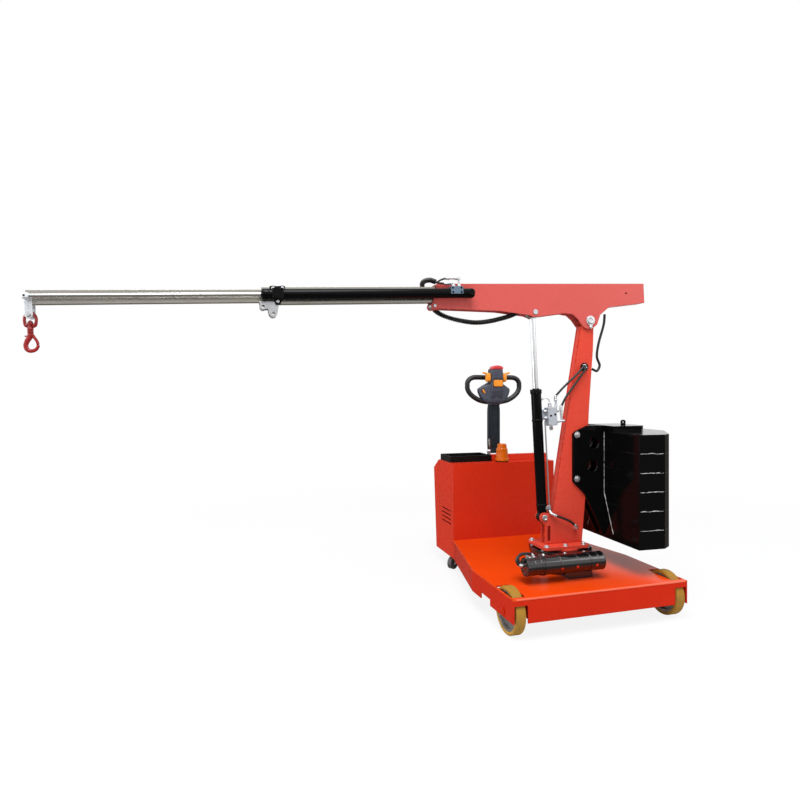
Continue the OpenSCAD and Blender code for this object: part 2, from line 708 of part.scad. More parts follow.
module rear_cable() color(black) turned()
  tube(concat(curve([[-296, -8, 1622], [-290, -10, 1560], [-260, -14, 1456], [-250, -16, 1380],
    [-268, -16, 1330], [-250, -14, 1298], [-226, -10, 1302]], 3), [[-189, -8, 1318]]),
    7, [0.1, 1, 0.1], 8);
module foot_hose() color(black) turned()
  tube(concat([on_ram_pt(-37, 18, 43.7)], curve([on_ram_pt(-37, 18, 34), [73, 36, 508],
    [48, 47, 497], [14, 53, 484], [-26, 56, 466], [-58, 55, 442], [-75, 50, 424], [-76, 40, 420]], 2),
    [[-76, column_w / 2 + 0.3, 420]]), 7, [0.1, 0.6, 1], 8);

// ---- luff cylinder ----
module luff_barrel() color(black) on_ram() {
  difference() {
    union() {
      translate([0, 0, 36]) cylinder(h = luff_barrel_top - 36, d = luff_barrel_d);
      translate([0, 0, luff_barrel_top - 24]) cylinder(h = 24, d = luff_barrel_d + 6);
      along_y(0, 0, 30, -15, 15);
      block(-20, 20, -15, 15, 0, 40);
    }
    along_y(0, 0, foot_pin_r + run_gap, -40, 40);
    translate([0, 0, 60]) cylinder(h = 1000, d = luff_rod_d + 2 * run_gap);
  }
}
module luff_pipe() color(zinc) on_ram() {
  r = luff_barrel_d / 2;
  translate([-r - 9, 18, 44]) cylinder(h = 486, r = 4);
  difference() {
    block(-r - 13, 0, 8, 26, 44, 60);
    translate([0, 0, 40]) cylinder(h = 30, r = r);
  }
}
valve_top = 602;
valve_low = 503;
module valve_block() color(zinc) on_ram() {
  r = luff_barrel_d / 2;
  block(-96, -42, 8, 48, valve_low, valve_top);
  // bracket on the barrel
  difference() {
    block(-52, 0, -14, 12, 536, 592);
    translate([0, 0, 500]) cylinder(h = 200, r = r);
  }
  // plug below, and the two elbows that take the hoses
  translate([-66, 30, valve_low - 26]) cylinder(h = 26, r = 8);
  translate([-97, 38, valve_top - 20]) cylinder(h = 54, r = 6);
  translate([-128, 38, 524]) cylinder(h = 53, r = 6);
  along_x(38, 524, 7, -144, -96);
  along_x(38, 582, 7, -112, -96);
}
module luff_rod() color([0.8, 0.82, 0.84]) on_ram() {
  translate([0, 0, luff_rod_start]) cylinder(h = luff_len - rod_eye_r + 6 - luff_rod_start, d = luff_rod_d);
  difference() {
    along_y(0, luff_len, rod_eye_r, -15, 15);
    along_y(0, luff_len, rod_bore_r, -16, 16);
  }
}

// ---- boom ----
nose_x = 921;
nose_z = 93;
module beam_outline() {
  polygon([[-boom_rear, boom_top], [-boom_rear, 95], [-129, 74], [-67, 31], [-44, -24], [-6, -49],
    [24, -46], [47, -30], [77, 10], [107, 36], [157, 44], [332, 26], [352, 26], [381, 37],
    [552, 61], [897, 79], [915, 76], [938, 92], [934, 104], [923, 126], [903, boom_top]]);
  translate([rod_x, rod_z]) circle(r = 27);
  translate([nose_x, nose_z]) circle(r = 18);
}
module beam() color(red) on_boom() {
  g = boom_gap / 2;
  difference() {
    union() {
      side(g, g + boom_plate) beam_outline();
      side(-g - boom_plate, -g) beam_outline();
      // top, rear and lower webs
      block(-boom_rear, 903, -g, g, boom_top - 7, boom_top);
      block(-boom_rear, -boom_rear + 7, -g, g, 95, boom_top);
      side(-g, g) polygon([[-boom_rear, 95], [-129, 74], [-129, 81], [-boom_rear, 102]]);
      // seats for the outer tube
      for (x = [470, 860]) both_y() block(x, x + 30, outer_w / 2, g, tube_z - 45, boom_top);
      both_y() block(420, 450, outer_w / 2, g, tube_z - 45, boom_top);
      // crossbar that the conduit starts from
      block(400, 416, -g, g, 46, 70);
    }
    along_y(0, 0, luff_pin_r, -80, 80);
    along_y(rod_x, rod_z, rod_pin_r, -80, 80);
    along_y(nose_x, nose_z, 8, -80, 80);
    along_y(-246, 151, 6, -80, 80);
  }
}
module boom_pins() color(zinc) on_boom() {
  w = boom_w / 2;
  along_y(0, 0, luff_pin_r, -w - 6, w + 6);
  both_y() side(w, w + 6) {
    circle(r = 27);
    translate([-9, -38]) square([18, 30]);
    translate([0, -38]) circle(r = 9);
  }
  along_y(rod_x, rod_z, rod_pin_r, -w - 5, w + 5);
  both_y() along_y(rod_x, rod_z, rod_pin_r + 4, w, w + 5);
  along_y(nose_x, nose_z, 8, -w - 6, w + 6);
  along_y(nose_x, nose_z, 13, -boom_gap / 2 + 0.3, boom_gap / 2 - 0.3);
}
module hollow(x0, x1, w, h, t) {
  difference() {
    block(x0, x1, -w / 2, w / 2, tube_z - h / 2, tube_z + h / 2);
    block(x0 - 1, x1 + 1, -w / 2 + t, w / 2 - t, tube_z - h / 2 + t, tube_z + h / 2 - t);
  }
}
module outer_tube() color(zinc) on_boom() hollow(outer_start, outer_end, outer_w, outer_h, outer_t);
module wear_pads() color([0.9, 0.9, 0.85]) on_boom() {
  for (s = [-1, 1]) {
    z0 = inner_h / 2 + pad_gap;
    z1 = outer_h / 2 - outer_t;
    translate([0, 0, s < 0 ? tube_z - z1 : tube_z + z0])
      block(outer_end - 60, outer_end, -14, 14, 0, z1 - z0);
  }
}
module inner_tube() color(zinc) on_boom() hollow(inner_start, inner_end, inner_w, inner_h, inner_t);
module tube_clamp() color(black) on_boom() {
  w = outer_w / 2;
  e = outer_end;
  difference() {
    union() {
      // three-bolt plate beside the tube, and the saddle round the barrel
      side(w + 6, w + 13) polygon([[e - 108, 195], [e - 37, 195], [e - 37, 168], [e - 63, 106],
        [e - 83, 106], [e - 108, 160]]);
      block(e - 105, e - 39, w, w + 6, tube_z + 4, 195);
      block(e - 97, e - 45, w + 13, ram_y + ram_d / 2 + 4, tube_z - 20, tube_z + 26);
    }
    along_x(ram_y, tube_z, ram_d / 2, outer_end - 185, outer_end + 15);
  }
}
module lug_side() translate([outer_end, 0]) difference() {
  union() {
    polygon([[-81, 124], [13, 124], [9, 100], [5, 88], [-26, 89], [-31, 62], [-39, 52], [-61, 52],
      [-68, 66]]);
    translate([-4, 100]) circle(r = 15);
    translate([-50, 66]) circle(r = 17);
  }
  translate([-4, 100]) circle(r = 7);
  translate([-50, 66]) circle(r = 7);
}
module lug_plate() color(zinc) on_boom() {
  w = outer_w / 2;
  both_y() side(w, w + 5.7) lug_side();
  block(outer_end - 73, outer_end - 15, -w, w, tube_z - outer_h / 2 - 8, tube_z - outer_h / 2);
}
module telescope_barrel() color(black) on_boom() {
  difference() {
    union() {
      along_x(ram_y, tube_z, ram_d / 2, ram_start + 20, outer_end - 4);
      along_x(ram_y, tube_z, ram_d / 2 - 3, ram_start, ram_start + 20);
      along_x(ram_y, tube_z, ram_d / 2 - 4, outer_end - 4, outer_end + 2);
      block(ram_start + 10, ram_start + 60, boom_w / 2, ram_y, tube_z - 18, tube_z + 18);
    }
    along_x(ram_y, tube_z, ram_rod_d / 2 + run_gap, ram_start + 80, outer_end + 15);
  }
}
module port_block() color([0.45, 0.52, 0.6]) on_boom() {
  difference() {
    block(782, 848, boom_w / 2 + 2, ram_y + 29, tube_z - 6, tube_z + 32);
    along_x(ram_y, tube_z, ram_d / 2, 700, 900);
  }
}
// height of the collar that the conduit ends on
port_z = tube_z + 52;
module port_pipes() color(zinc) on_boom() {
  top = tube_z + 32;
  translate([790, ram_y, top]) cylinder(h = 44, r = 9);
  bar([790, ram_y, top + 40], [852, ram_y, top + 40], 6);
  bar([852, ram_y, top + 40], [882, ram_y, top + 26], 6);
  translate([852, ram_y, top + 40]) sphere(r = 6);
  translate([822, ram_y, top]) cylinder(h = 16, r = 7);
  bar([816, ram_y, top + 13], [882, ram_y, top + 13], 5);
  along_x(ram_y, port_z, 12, 878, 890);
}
module boom_conduit() color(black) on_boom()
  tube(concat([[416.3, 0, 58]], curve([[424, 0, 58], [456, 0, 38], [537, 0, 14], [596, 0, 7],
    [672, 0, 9], [741, 0, 18], [797, 0, 28], [852, -8, 42], [900, -36, 50], [950, -60, 76],
    [980, -64, 130], [985, -56, 180], [975, -36, 210], [954, 10, 222], [930, 50, 212],
    [902, ram_y, port_z]], 2), [[890.3, ram_y, port_z]]), 10, [0.1, 1, -0.2], 8);
module telescope_rod() color([0.85, 0.87, 0.9]) on_boom()
  along_x(ram_y, tube_z, ram_rod_d / 2, outer_end - 98, inner_end - 14);
module tip_bracket() color(zinc) on_boom() {
  w = inner_w / 2;
  both_y() side(w, w + 6) difference() {
    polygon([[bolt_x - 26, 165], [bolt_x - 26, 80], [bolt_x - 17, 62], [bolt_x - 5, 56],
      [bolt_x + 5, 56], [bolt_x + 16, 66], [bolt_x + 16, 165]]);
    translate([bolt_x, bolt_z]) circle(r = bolt_r);
  }
  along_y(bolt_x, bolt_z, bolt_r, -w - 13, w + 13);
  both_y() along_y(bolt_x, bolt_z, bolt_r + 4, w + 6, w + 13);
  difference() {
    block(inner_end - 26, inner_end - 2, w + 6, ram_y + 16, tube_z - 14, tube_z + 12);
    along_x(ram_y, tube_z, ram_rod_d / 2, inner_end - 68, inner_end - 14);
  }
  block(inner_end, inner_end + 4, -w - 6, w + 6, tube_z - inner_h / 2, tube_z + inner_h / 2);
}

// ---- hook: built hanging straight down under the hook bolt ----
drop = link_r - bolt_r - 0.3;
neck_z = -drop - link_r - link_t;
bowl_z = neck_z - hook_h + 14;
bowl_r = hook_w / 2 + 2;
// the jaw's hinge
gate_x = -7;
gate_z = neck_z - 40;
gate_pin_r = 3;
module hook_ring() color(red) on_hook() {
  r = link_r + link_t / 2;
  translate([0, 0, -drop]) rotate([90, 0, 0]) rotate_extrude() translate([r, 0]) circle(d = link_t);
  translate([0, 0, neck_z - 12]) cylinder(h = 16, r = 12);
  translate([0, 0, neck_z - 26]) cylinder(h = 20, r = 6);
}
module hook_shape() {
  difference() {
    union() {
      translate([-2, bowl_z]) circle(r = bowl_r);
      polygon([[bowl_r - 3.4, bowl_z + 8], [22, bowl_z + 36], [12, neck_z - 21], [-12, neck_z - 21],
        [-16, gate_z - 8], [-24, bowl_z + 18]]);
    }
    // the teardrop opening
    translate([-6, bowl_z - 3]) circle(r = bowl_r - 15.5);
    polygon([[-20, bowl_z + 9], [-16, gate_z - 12], [-9, gate_z - 14], [1, bowl_z + 21],
      [11.2, bowl_z + 3], [-6, bowl_z - 6]]);
    // the mouth on the column's side, which the jaw shuts
    polygon([[gate_x - 1, gate_z - 10.5], [-60, gate_z - 4], [-60, bowl_z - 2], [-20, bowl_z - 2],
      [-14, bowl_z + 8]]);
  }
}
module hook_body() color(red) on_hook() {
  difference() {
    union() {
      side(-hook_t / 2, hook_t / 2) hook_shape();
      along_y(gate_x, gate_z, 9.5, -10, 10);
      // trigger at the back
      side(-4, 4) polygon([[14, neck_z - 46], [26, neck_z - 48], [28, neck_z - 40], [14, neck_z - 38]]);
      translate([0, 0, neck_z - 26]) cylinder(h = 14 - 0.3, r = 11);
    }
    translate([0, 0, neck_z - 26.3]) cylinder(h = 20, r = 6 + run_gap);
    translate([0, 0, neck_z - 29.3]) cylinder(h = 3.2, r = 8);
    // gap between the cheeks for the jaw
    side(-5.8, 5.8) {
      translate([gate_x, gate_z]) circle(r = 9);
      polygon([[gate_x - 2, gate_z + 8.8], [-40, gate_z + 20], [-60, gate_z - 40],
        [gate_x + 8.8, gate_z - 30], [gate_x + 8.8, gate_z]]);
    }
  }
  along_y(gate_x, gate_z, gate_pin_r, -11, 11);
}
module hook_jaw() color(red) on_hook() side(-5.5, 5.5) difference() {
  union() {
    translate([gate_x, gate_z]) circle(r = 8.2);
    polygon([[gate_x - 7, gate_z + 4.2], [gate_x - 17, gate_z - 9], [gate_x - 24, gate_z - 23],
      [gate_x - 27.5, gate_z - 33], [-bowl_r - 2, bowl_z - 1.6], [-24.7, bowl_z - 1.6],
      [-23.6, bowl_z + 7], [gate_x - 11, gate_z - 21], [gate_x + 5, gate_z - 6.4]]);
  }
  translate([gate_x, gate_z]) circle(r = gate_pin_r + run_gap);
}

deck();
skirts();
frame_rails();
drive_housing();
top_tray();
tiller_plinth();
beacon_base();
beacon_lens();
slew_housing();
slew_motor();
motor_hose();
wheel_left();
tyre_left();
wheel_right();
tyre_right();
caster_fork_left();
caster_wheel_left();
caster_fork_right();
caster_wheel_right();
drive_unit();
steering_post();
tiller_stem();
tiller_head();
tiller_grips();
thumb_switches();
belly_button();
turntable();
column();
foot_pin();
grommet();
cheek_plates();
weight_slabs_a();
weight_slabs_b();
weight_cover();
lifting_eye();
valve_hose_near();
valve_hose_far();
rear_cable();
foot_hose();
luff_barrel();
luff_pipe();
valve_block();
luff_rod();
beam();
boom_pins();
outer_tube();
wear_pads();
tube_clamp();
lug_plate();
telescope_barrel();
port_block();
port_pipes();
boom_conduit();
inner_tube();
telescope_rod();
tip_bracket();
hook_ring();
hook_body();
hook_jaw();
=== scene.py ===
import math

import bpy
import numpy as np
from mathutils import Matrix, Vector


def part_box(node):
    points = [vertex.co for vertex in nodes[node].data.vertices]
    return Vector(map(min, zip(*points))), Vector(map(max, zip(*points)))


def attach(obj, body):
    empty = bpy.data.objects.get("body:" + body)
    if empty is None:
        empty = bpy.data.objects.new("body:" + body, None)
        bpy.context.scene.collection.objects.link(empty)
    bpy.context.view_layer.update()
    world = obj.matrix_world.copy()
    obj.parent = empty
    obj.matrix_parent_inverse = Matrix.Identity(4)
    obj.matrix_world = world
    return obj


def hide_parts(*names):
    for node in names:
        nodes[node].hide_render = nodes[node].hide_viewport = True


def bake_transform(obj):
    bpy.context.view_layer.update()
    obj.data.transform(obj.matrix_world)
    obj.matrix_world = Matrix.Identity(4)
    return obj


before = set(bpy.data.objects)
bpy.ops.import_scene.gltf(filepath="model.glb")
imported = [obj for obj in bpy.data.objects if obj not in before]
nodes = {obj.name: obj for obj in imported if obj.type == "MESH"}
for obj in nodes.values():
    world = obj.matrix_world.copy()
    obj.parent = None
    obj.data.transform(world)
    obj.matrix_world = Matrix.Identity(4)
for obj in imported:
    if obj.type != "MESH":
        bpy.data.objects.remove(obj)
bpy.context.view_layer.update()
print("frame loaded:", len(nodes), "nodes")


# places on the crane, in metres and radians
place = {
    "luffPivot": (0.169, 0.0, 1.577),
    "footPin": (-0.112, 0.0, 0.487),
    "droop": math.radians(3.0),
    "lean": math.radians(3.2206),
    "steerY": 0.846,
    "slabBottom": 0.358,
    "slabTop": 0.955,
    "slabs": 6,
}
mirrorY = np.array([1, -1, 1])


# point of a leaning part, (a along it, b towards the near side, h over its pivot):
# x = x0 - (a cos + h sin), y = y0 - b, z = z0 - a sin + h cos
def leaned(p, pivot, angle):
    a, b, h = np.moveaxis(np.asarray(p, float), -1, 0)
    s, c = math.sin(angle), math.cos(angle)
    return np.stack([pivot[0] - (a * c + h * s), pivot[1] - b, pivot[2] - a * s + h * c], -1)


# the boom leans by its droop about the luff pivot, the ram by its own angle about the lower pin
def onBoom(p):
    return leaned(p, place["luffPivot"], place["droop"])


def onRam(p):
    return leaned(p, place["footPin"], place["lean"])


# turned point: x and y swap sign
def turned(p):
    return np.asarray(p, float) * np.array([-1.0, -1.0, 1.0])


# a point in millimetres: p / 1000
def mm(points):
    return np.array(points, float) / 1000.0


# direction of a leaning part's axis: the placed unit vector minus the placed origin
def direction(placed, axis):
    return placed(np.array(axis, float)) - placed(np.zeros(3))


# quads between neighbours (i, j), (i, j+1), (i+1, j+1), (i+1, j) of a grid of points
def gridFaces(rows, cols, wrapRows=False):
    i = np.arange(rows if wrapRows else rows - 1)[:, None]
    j = np.arange(cols)[None, :]
    i2, j2 = (i + 1) % rows, (j + 1) % cols
    return np.stack([i * cols + j, i * cols + j2, i2 * cols + j2, i2 * cols + j], -1).reshape(-1, 4)


# one mesh from many shells, smooth up to an angle, with its finish, tied to its body when it names one body and
# else left where it stands. A part is a grid of rings, closed by fans round the means of its end rows, or
# (grid, whether its rows wrap, whether it is closed)
def buildPiece(name, parts, body, look, angle=35.0, replaces=()):
    points, faces, start = [], [], 0
    for part in parts:
        grid, wrapRows, capped = part if isinstance(part, tuple) else (part, False, True)
        rows, cols = grid.shape[0], grid.shape[1]
        points.append(grid.reshape(-1, 3))
        faces += (gridFaces(rows, cols, wrapRows) + start).tolist()
        count = rows * cols
        if capped:
            points.append(np.stack([grid[0].mean(0), grid[-1].mean(0)]))
            j = np.arange(cols)
            after = (j + 1) % cols
            below = (rows - 1) * cols
            first = np.stack([np.full(cols, count), after, j], -1) + start
            last = np.stack([np.full(cols, count + 1), below + j, below + after], -1) + start
            faces += first.tolist() + last.tolist()
            count += 2
        start += count
    mesh = bpy.data.meshes.new(name)
    mesh.from_pydata(np.concatenate(points).tolist(), [], faces)
    mesh.validate()
    mesh.shade_smooth()
    mesh.set_sharp_from_angle(angle=math.radians(angle))
    mesh.materials.append(finish[look])
    piece = bpy.data.objects.new(name, mesh)
    bpy.context.scene.collection.objects.link(piece)
    if isinstance(body, str):
        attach(piece, body)
    else:
        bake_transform(piece)
    if replaces:
        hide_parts(*replaces)


# smooth line through given points: cubic with tangents (p[i+1] - p[i-1]) / 2, then even steps of arc length
def smoothPath(points, count):
    p = np.asarray(points, float)
    q = np.concatenate([2 * p[:1] - p[1:2], p, 2 * p[-1:] - p[-2:-1]])
    t = np.linspace(0, 1, 24, endpoint=False)[None, :, None]
    a, b, c, d = q[:-3, None], q[1:-2, None], q[2:-1, None], q[3:, None]
    fine = 0.5 * (2 * b + (c - a) * t + (2 * a - 5 * b + 4 * c - d) * t ** 2
                  + (3 * b - a - 3 * c + d) * t ** 3)
    fine = np.concatenate([fine.reshape(-1, 3), p[-1:]])
    length = np.concatenate([[0], np.cumsum(np.linalg.norm(np.diff(fine, axis=0), axis=1))])
    s = np.linspace(0, length[-1], count)
    return np.stack([np.interp(s, length, fine[:, k]) for k in range(3)], -1), s


# tube: P(s, w) = path(s) + r(s) (cos w * side + sin w * up), side = tangent x ref
def tubeGrid(path, radius, sides, ref, flat=1.0):
    tangent = np.gradient(path, axis=0)
    tangent /= np.linalg.norm(tangent, axis=1, keepdims=True)
    side = np.cross(tangent, np.asarray(ref, float))
    side /= np.linalg.norm(side, axis=1, keepdims=True)
    up = np.cross(side, tangent)
    w = np.linspace(0, 2 * np.pi, sides, endpoint=False)[None, :, None]
    r = np.broadcast_to(radius, len(path))[:, None, None]
    return path[:, None] + r * (np.cos(w) * side[:, None] + flat * np.sin(w) * up[:, None])


# turned shape: P(k, w) = base + axis * h[k] + r[k] (cos w * a + sin w * b), for many bases at once
def latheGrids(bases, axis, profile, sides=24, corners=6):
    bases = np.atleast_2d(np.asarray(bases, float))
    n = np.asarray(axis, float)
    n = n / np.linalg.norm(n)
    helper = np.array([0.0, 0.0, 1.0]) if abs(n[2]) < 0.9 else np.array([1.0, 0.0, 0.0])
    a = np.cross(helper, n)
    a /= np.linalg.norm(a)
    b = np.cross(n, a)
    w = np.linspace(0, 2 * np.pi, sides, endpoint=False)
    prof = np.asarray(profile, float)
    h, r = prof[:, 0], prof[:, 1]
    radius = np.repeat(r[:, None], sides, 1)
    if corners:  # regular polygon of that many corners: r cos(pi/n) / cos(angle to the middle of a side)
        part = 2 * np.pi / corners
        shape = math.cos(part / 2) / np.cos((w % part) - part / 2)
        flagged = prof[:, 2] > 0.5
        radius = np.where(flagged[:, None], radius * shape[None, :], radius)
    ring = (np.cos(w)[None, :, None] * a + np.sin(w)[None, :, None] * b) * radius[..., None]
    one = ring + h[:, None, None] * n
    return [base + one for base in bases]


# hexagon bolt with washer: height, radius, and a mark for the rings that are hexagons
def boltProfile(r, h, washer=1.5):
    return [(0, r * washer, 0), (h * 0.16, r * washer, 0), (h * 0.17, r * 1.02, 0), (h * 0.17, r, 1),
            (h * 0.84, r, 1), (h, r * 0.8, 0)]


# domed nut: a hexagon below, then a rounded end
def capProfile(r, h):
    return [(0, r, 1), (h * 0.45, r, 1), (h * 0.5, r * 0.86, 0), (h * 0.8, r * 0.66, 0), (h * 0.95, r * 0.35, 0),
            (h, r * 0.1, 0)]


# sign(v) |v|^(2/n), which squares a circle's cosine or sine off
def squared(v, power):
    return np.sign(v) * np.abs(v) ** (2 / power)


# rounded block: superellipsoid |x/a|^n + |y/b|^n + |z/c|^n = 1 on a grid of two angles
def softBlock(centre, half, power=5.0, rows=18, cols=36):
    v = np.linspace(-np.pi / 2 + 1e-3, np.pi / 2 - 1e-3, rows)[:, None]
    u = np.linspace(0, 2 * np.pi, cols, endpoint=False)[None, :]
    level = squared(np.cos(v), power)
    x = level * squared(np.cos(u), power) * half[0]
    y = level * squared(np.sin(u), power) * half[1]
    z = squared(np.sin(v), power) * half[2] * np.ones_like(u)
    return np.stack([x, y, z], -1) + np.asarray(centre, float)


# a node socket takes a link from another socket, or a fixed value
def feed(tree, socket, source):
    if isinstance(source, bpy.types.NodeSocket):
        tree.links.new(source, socket)
    else:
        socket.default_value = source


# one node: what each input takes, by number or name, then the node's own settings
def addNode(tree, kind, inputs, output=0, **settings):
    node = tree.nodes.new(kind)
    for key, value in settings.items():
        setattr(node, key, value)
    for key, source in inputs.items():
        feed(tree, node.inputs[key], source)
    return node.outputs[output]


# one sum or product of its sources, clamped to 0 ... 1 if asked
def mathNode(tree, operation, *sources, clamp=False):
    return addNode(tree, "ShaderNodeMath", dict(enumerate(sources)), operation=operation, use_clamp=clamp)


# fractal noise at a scale, detail and roughness
def noiseNode(tree, vector, scale, detail, rough=0.5):
    return addNode(tree, "ShaderNodeTexNoise",
                   {"Vector": vector, "Scale": scale, "Detail": detail, "Roughness": rough}, "Fac")


# the value carried from one range to another, in a straight line unless the settings say otherwise
def rangeNode(tree, value, fromLow, fromHigh, toLow=0.0, toHigh=1.0, **settings):
    return addNode(tree, "ShaderNodeMapRange", {"Value": value, "From Min": fromLow, "From Max": fromHigh,
                                                "To Min": toLow, "To Max": toHigh}, "Result", **settings)


# colour first (1 - amount) + second amount
def mixNode(tree, amount, first, second):
    return addNode(tree, "ShaderNodeMix", {0: amount, 6: first, 7: second}, 2, data_type="RGBA")


# a colour or vector times a number
def scaleNode(tree, vector, factor):
    return addNode(tree, "ShaderNodeVectorMath", {0: vector, "Scale": factor}, operation="SCALE")


# the normal averaged within a radius, which rounds edges off
def bevelNode(tree, radius):
    return addNode(tree, "ShaderNodeBevel", {"Radius": radius}, samples=3)


# group with colours, plain numbers and vectors as inputs, told apart by their default values
def newGroup(name, defaults, outputs):
    group = bpy.data.node_groups.new(name, "ShaderNodeTree")
    kinds = {0: "NodeSocketFloat", 3: "NodeSocketVector", 4: "NodeSocketColor"}
    for label, value in defaults.items():
        kind = kinds[np.size(value) if np.ndim(value) else 0]
        group.interface.new_socket(name=label, in_out="INPUT", socket_type=kind).default_value = value
    outputKinds = {"Colour": "NodeSocketColor", "Normal": "NodeSocketVector"}
    for label in outputs:
        group.interface.new_socket(name=label, in_out="OUTPUT",
                                   socket_type=outputKinds.get(label, "NodeSocketFloat"))
    coord = addNode(group, "ShaderNodeTexCoord", {}, "Object")
    return group, group.nodes.new("NodeGroupInput").outputs, group.nodes.new("NodeGroupOutput").inputs, coord


coat = {"slow": (3.1, 3.0), "mid": (38.0, 6.0, 0.7), "fine": (420.0, 2.0), "dustHeight": (0.62, 0.05),
        "dustColour": (0.28, 0.2, 0.14, 1), "bevel": 0.004, "edge": (0.99, 0.8), "speck": (0.5, 0.62),
        "dustRough": 0.5, "noiseRough": 0.12}


# coating: fine ripple of sprayed paint, slow shade changes, dust that lies low down, worn specks on edges
def makeCoatGroup():
    g, gin, gout, coord = newGroup("sprayedCoat", {
        "Colour": (0.6, 0.04, 0.01, 1), "Worn Colour": (0.2, 0.2, 0.2, 1), "Shade": 0.12, "Ripple": 0.1, "Dust": 0.2,
        "Wear": 0.3, "Gloss Rough": 0.25}, ["Colour", "Roughness", "Height", "Normal"])
    slow, fine, mid = (noiseNode(g, coord, *coat[key]) for key in ("slow", "fine", "mid"))
    # shade: 1 + Shade * (noise - 0.5)
    shade = mathNode(g, "MULTIPLY_ADD", mathNode(g, "SUBTRACT", slow, 0.5), gin["Shade"], 1.0)
    shaded = scaleNode(g, gin["Colour"], shade)
    # dust gathers where the height is low and the noise is high
    height = addNode(g, "ShaderNodeSeparateXYZ", {0: coord}, "Z")
    dustMask = mathNode(g, "MULTIPLY", rangeNode(g, height, *coat["dustHeight"]), mid)
    dust = mathNode(g, "MULTIPLY", dustMask, gin["Dust"], clamp=True)
    dusty = mixNode(g, dust, shaded, coat["dustColour"])
    # edges: where the rounded normal leaves the flat one, worn in specks
    bevel = bevelNode(g, coat["bevel"])
    flat = addNode(g, "ShaderNodeNewGeometry", {}, "Normal")
    dot = addNode(g, "ShaderNodeVectorMath", {0: bevel, 1: flat}, "Value", operation="DOT_PRODUCT")
    worn = mathNode(g, "MULTIPLY", rangeNode(g, dot, *coat["edge"]), rangeNode(g, mid, *coat["speck"]))
    worn = mathNode(g, "MULTIPLY", worn, gin["Wear"], clamp=True)
    feed(g, gout["Colour"], mixNode(g, worn, dusty, gin["Worn Colour"]))
    # roughness: base + dustRough * dust + noiseRough * noise
    rough = mathNode(g, "MULTIPLY_ADD", dust, coat["dustRough"], gin["Gloss Rough"])
    feed(g, gout["Roughness"], mathNode(g, "MULTIPLY_ADD", mid, coat["noiseRough"], rough, clamp=True))
    feed(g, gout["Height"], mathNode(g, "MULTIPLY", fine, gin["Ripple"]))
    feed(g, gout["Normal"], bevel)
    return g


metal = {"lines": (1.0, 4.0, 0.65), "cloud": (9.0, 5.0, 0.62), "stain": (0.42, 0.72), "grain": (0.3, 0.7, 0.86, 1.08),
         "lineRough": 0.22, "stainRough": 0.25, "bevel": 0.0015}


# metal: fine lines along one axis (noise stretched by Stretch), cloudy stains, slight dents
def makeMetalGroup():
    g, gin, gout, coord = newGroup("drawnMetal", {
        "Colour": (0.6, 0.6, 0.62, 1), "Stain": (0.3, 0.27, 0.22, 1), "Stretch": (6.0, 400.0, 400.0),
        "Stain Amount": 0.3, "Line Depth": 0.3, "Base Rough": 0.28}, ["Colour", "Roughness", "Height", "Normal"])
    stretched = addNode(g, "ShaderNodeVectorMath", {0: coord, 1: gin["Stretch"]}, operation="MULTIPLY")
    lines, cloud = noiseNode(g, stretched, *metal["lines"]), noiseNode(g, coord, *metal["cloud"])
    stain = mathNode(g, "MULTIPLY", rangeNode(g, cloud, *metal["stain"]), gin["Stain Amount"], clamp=True)
    colour = mixNode(g, stain, gin["Colour"], gin["Stain"])
    feed(g, gout["Colour"], scaleNode(g, colour, rangeNode(g, lines, *metal["grain"])))
    # roughness: base + lineRough * lines + stainRough * stain
    rough = mathNode(g, "MULTIPLY_ADD", lines, metal["lineRough"], gin["Base Rough"])
    feed(g, gout["Roughness"], mathNode(g, "MULTIPLY_ADD", stain, metal["stainRough"], rough, clamp=True))
    feed(g, gout["Height"], mathNode(g, "MULTIPLY", lines, gin["Line Depth"]))
    feed(g, gout["Normal"], bevelNode(g, metal["bevel"]))
    return g


mould = {"cloud": (24.0, 5.0, 0.6), "dust": (0.48, 0.75), "cloudRough": 0.25}


# moulded stuff: leathery pits (voronoi) over soft mottling, 1 + Mottle * (noise - 0.5), dusty highlights
def makeMouldGroup():
    g, gin, gout, coord = newGroup("mouldedSkin", {
        "Colour": (0.02, 0.02, 0.022, 1), "Pit Scale": 900.0, "Mottle": 0.25, "Dust Colour": (0.2, 0.19, 0.17, 1),
        "Dust": 0.1, "Base Rough": 0.45}, ["Colour", "Roughness", "Height"])
    cloud = noiseNode(g, coord, *mould["cloud"])
    shade = mathNode(g, "MULTIPLY_ADD", mathNode(g, "SUBTRACT", cloud, 0.5), gin["Mottle"], 1.0)
    dust = mathNode(g, "MULTIPLY", rangeNode(g, cloud, *mould["dust"]), gin["Dust"], clamp=True)
    feed(g, gout["Colour"], mixNode(g, dust, scaleNode(g, gin["Colour"], shade), gin["Dust Colour"]))
    rough = mathNode(g, "MULTIPLY_ADD", cloud, mould["cloudRough"], gin["Base Rough"], clamp=True)
    feed(g, gout["Roughness"], rough)
    pits = addNode(g, "ShaderNodeTexVoronoi", {"Vector": coord, "Scale": gin["Pit Scale"]}, "Distance")
    feed(g, gout["Height"], pits)
    return g


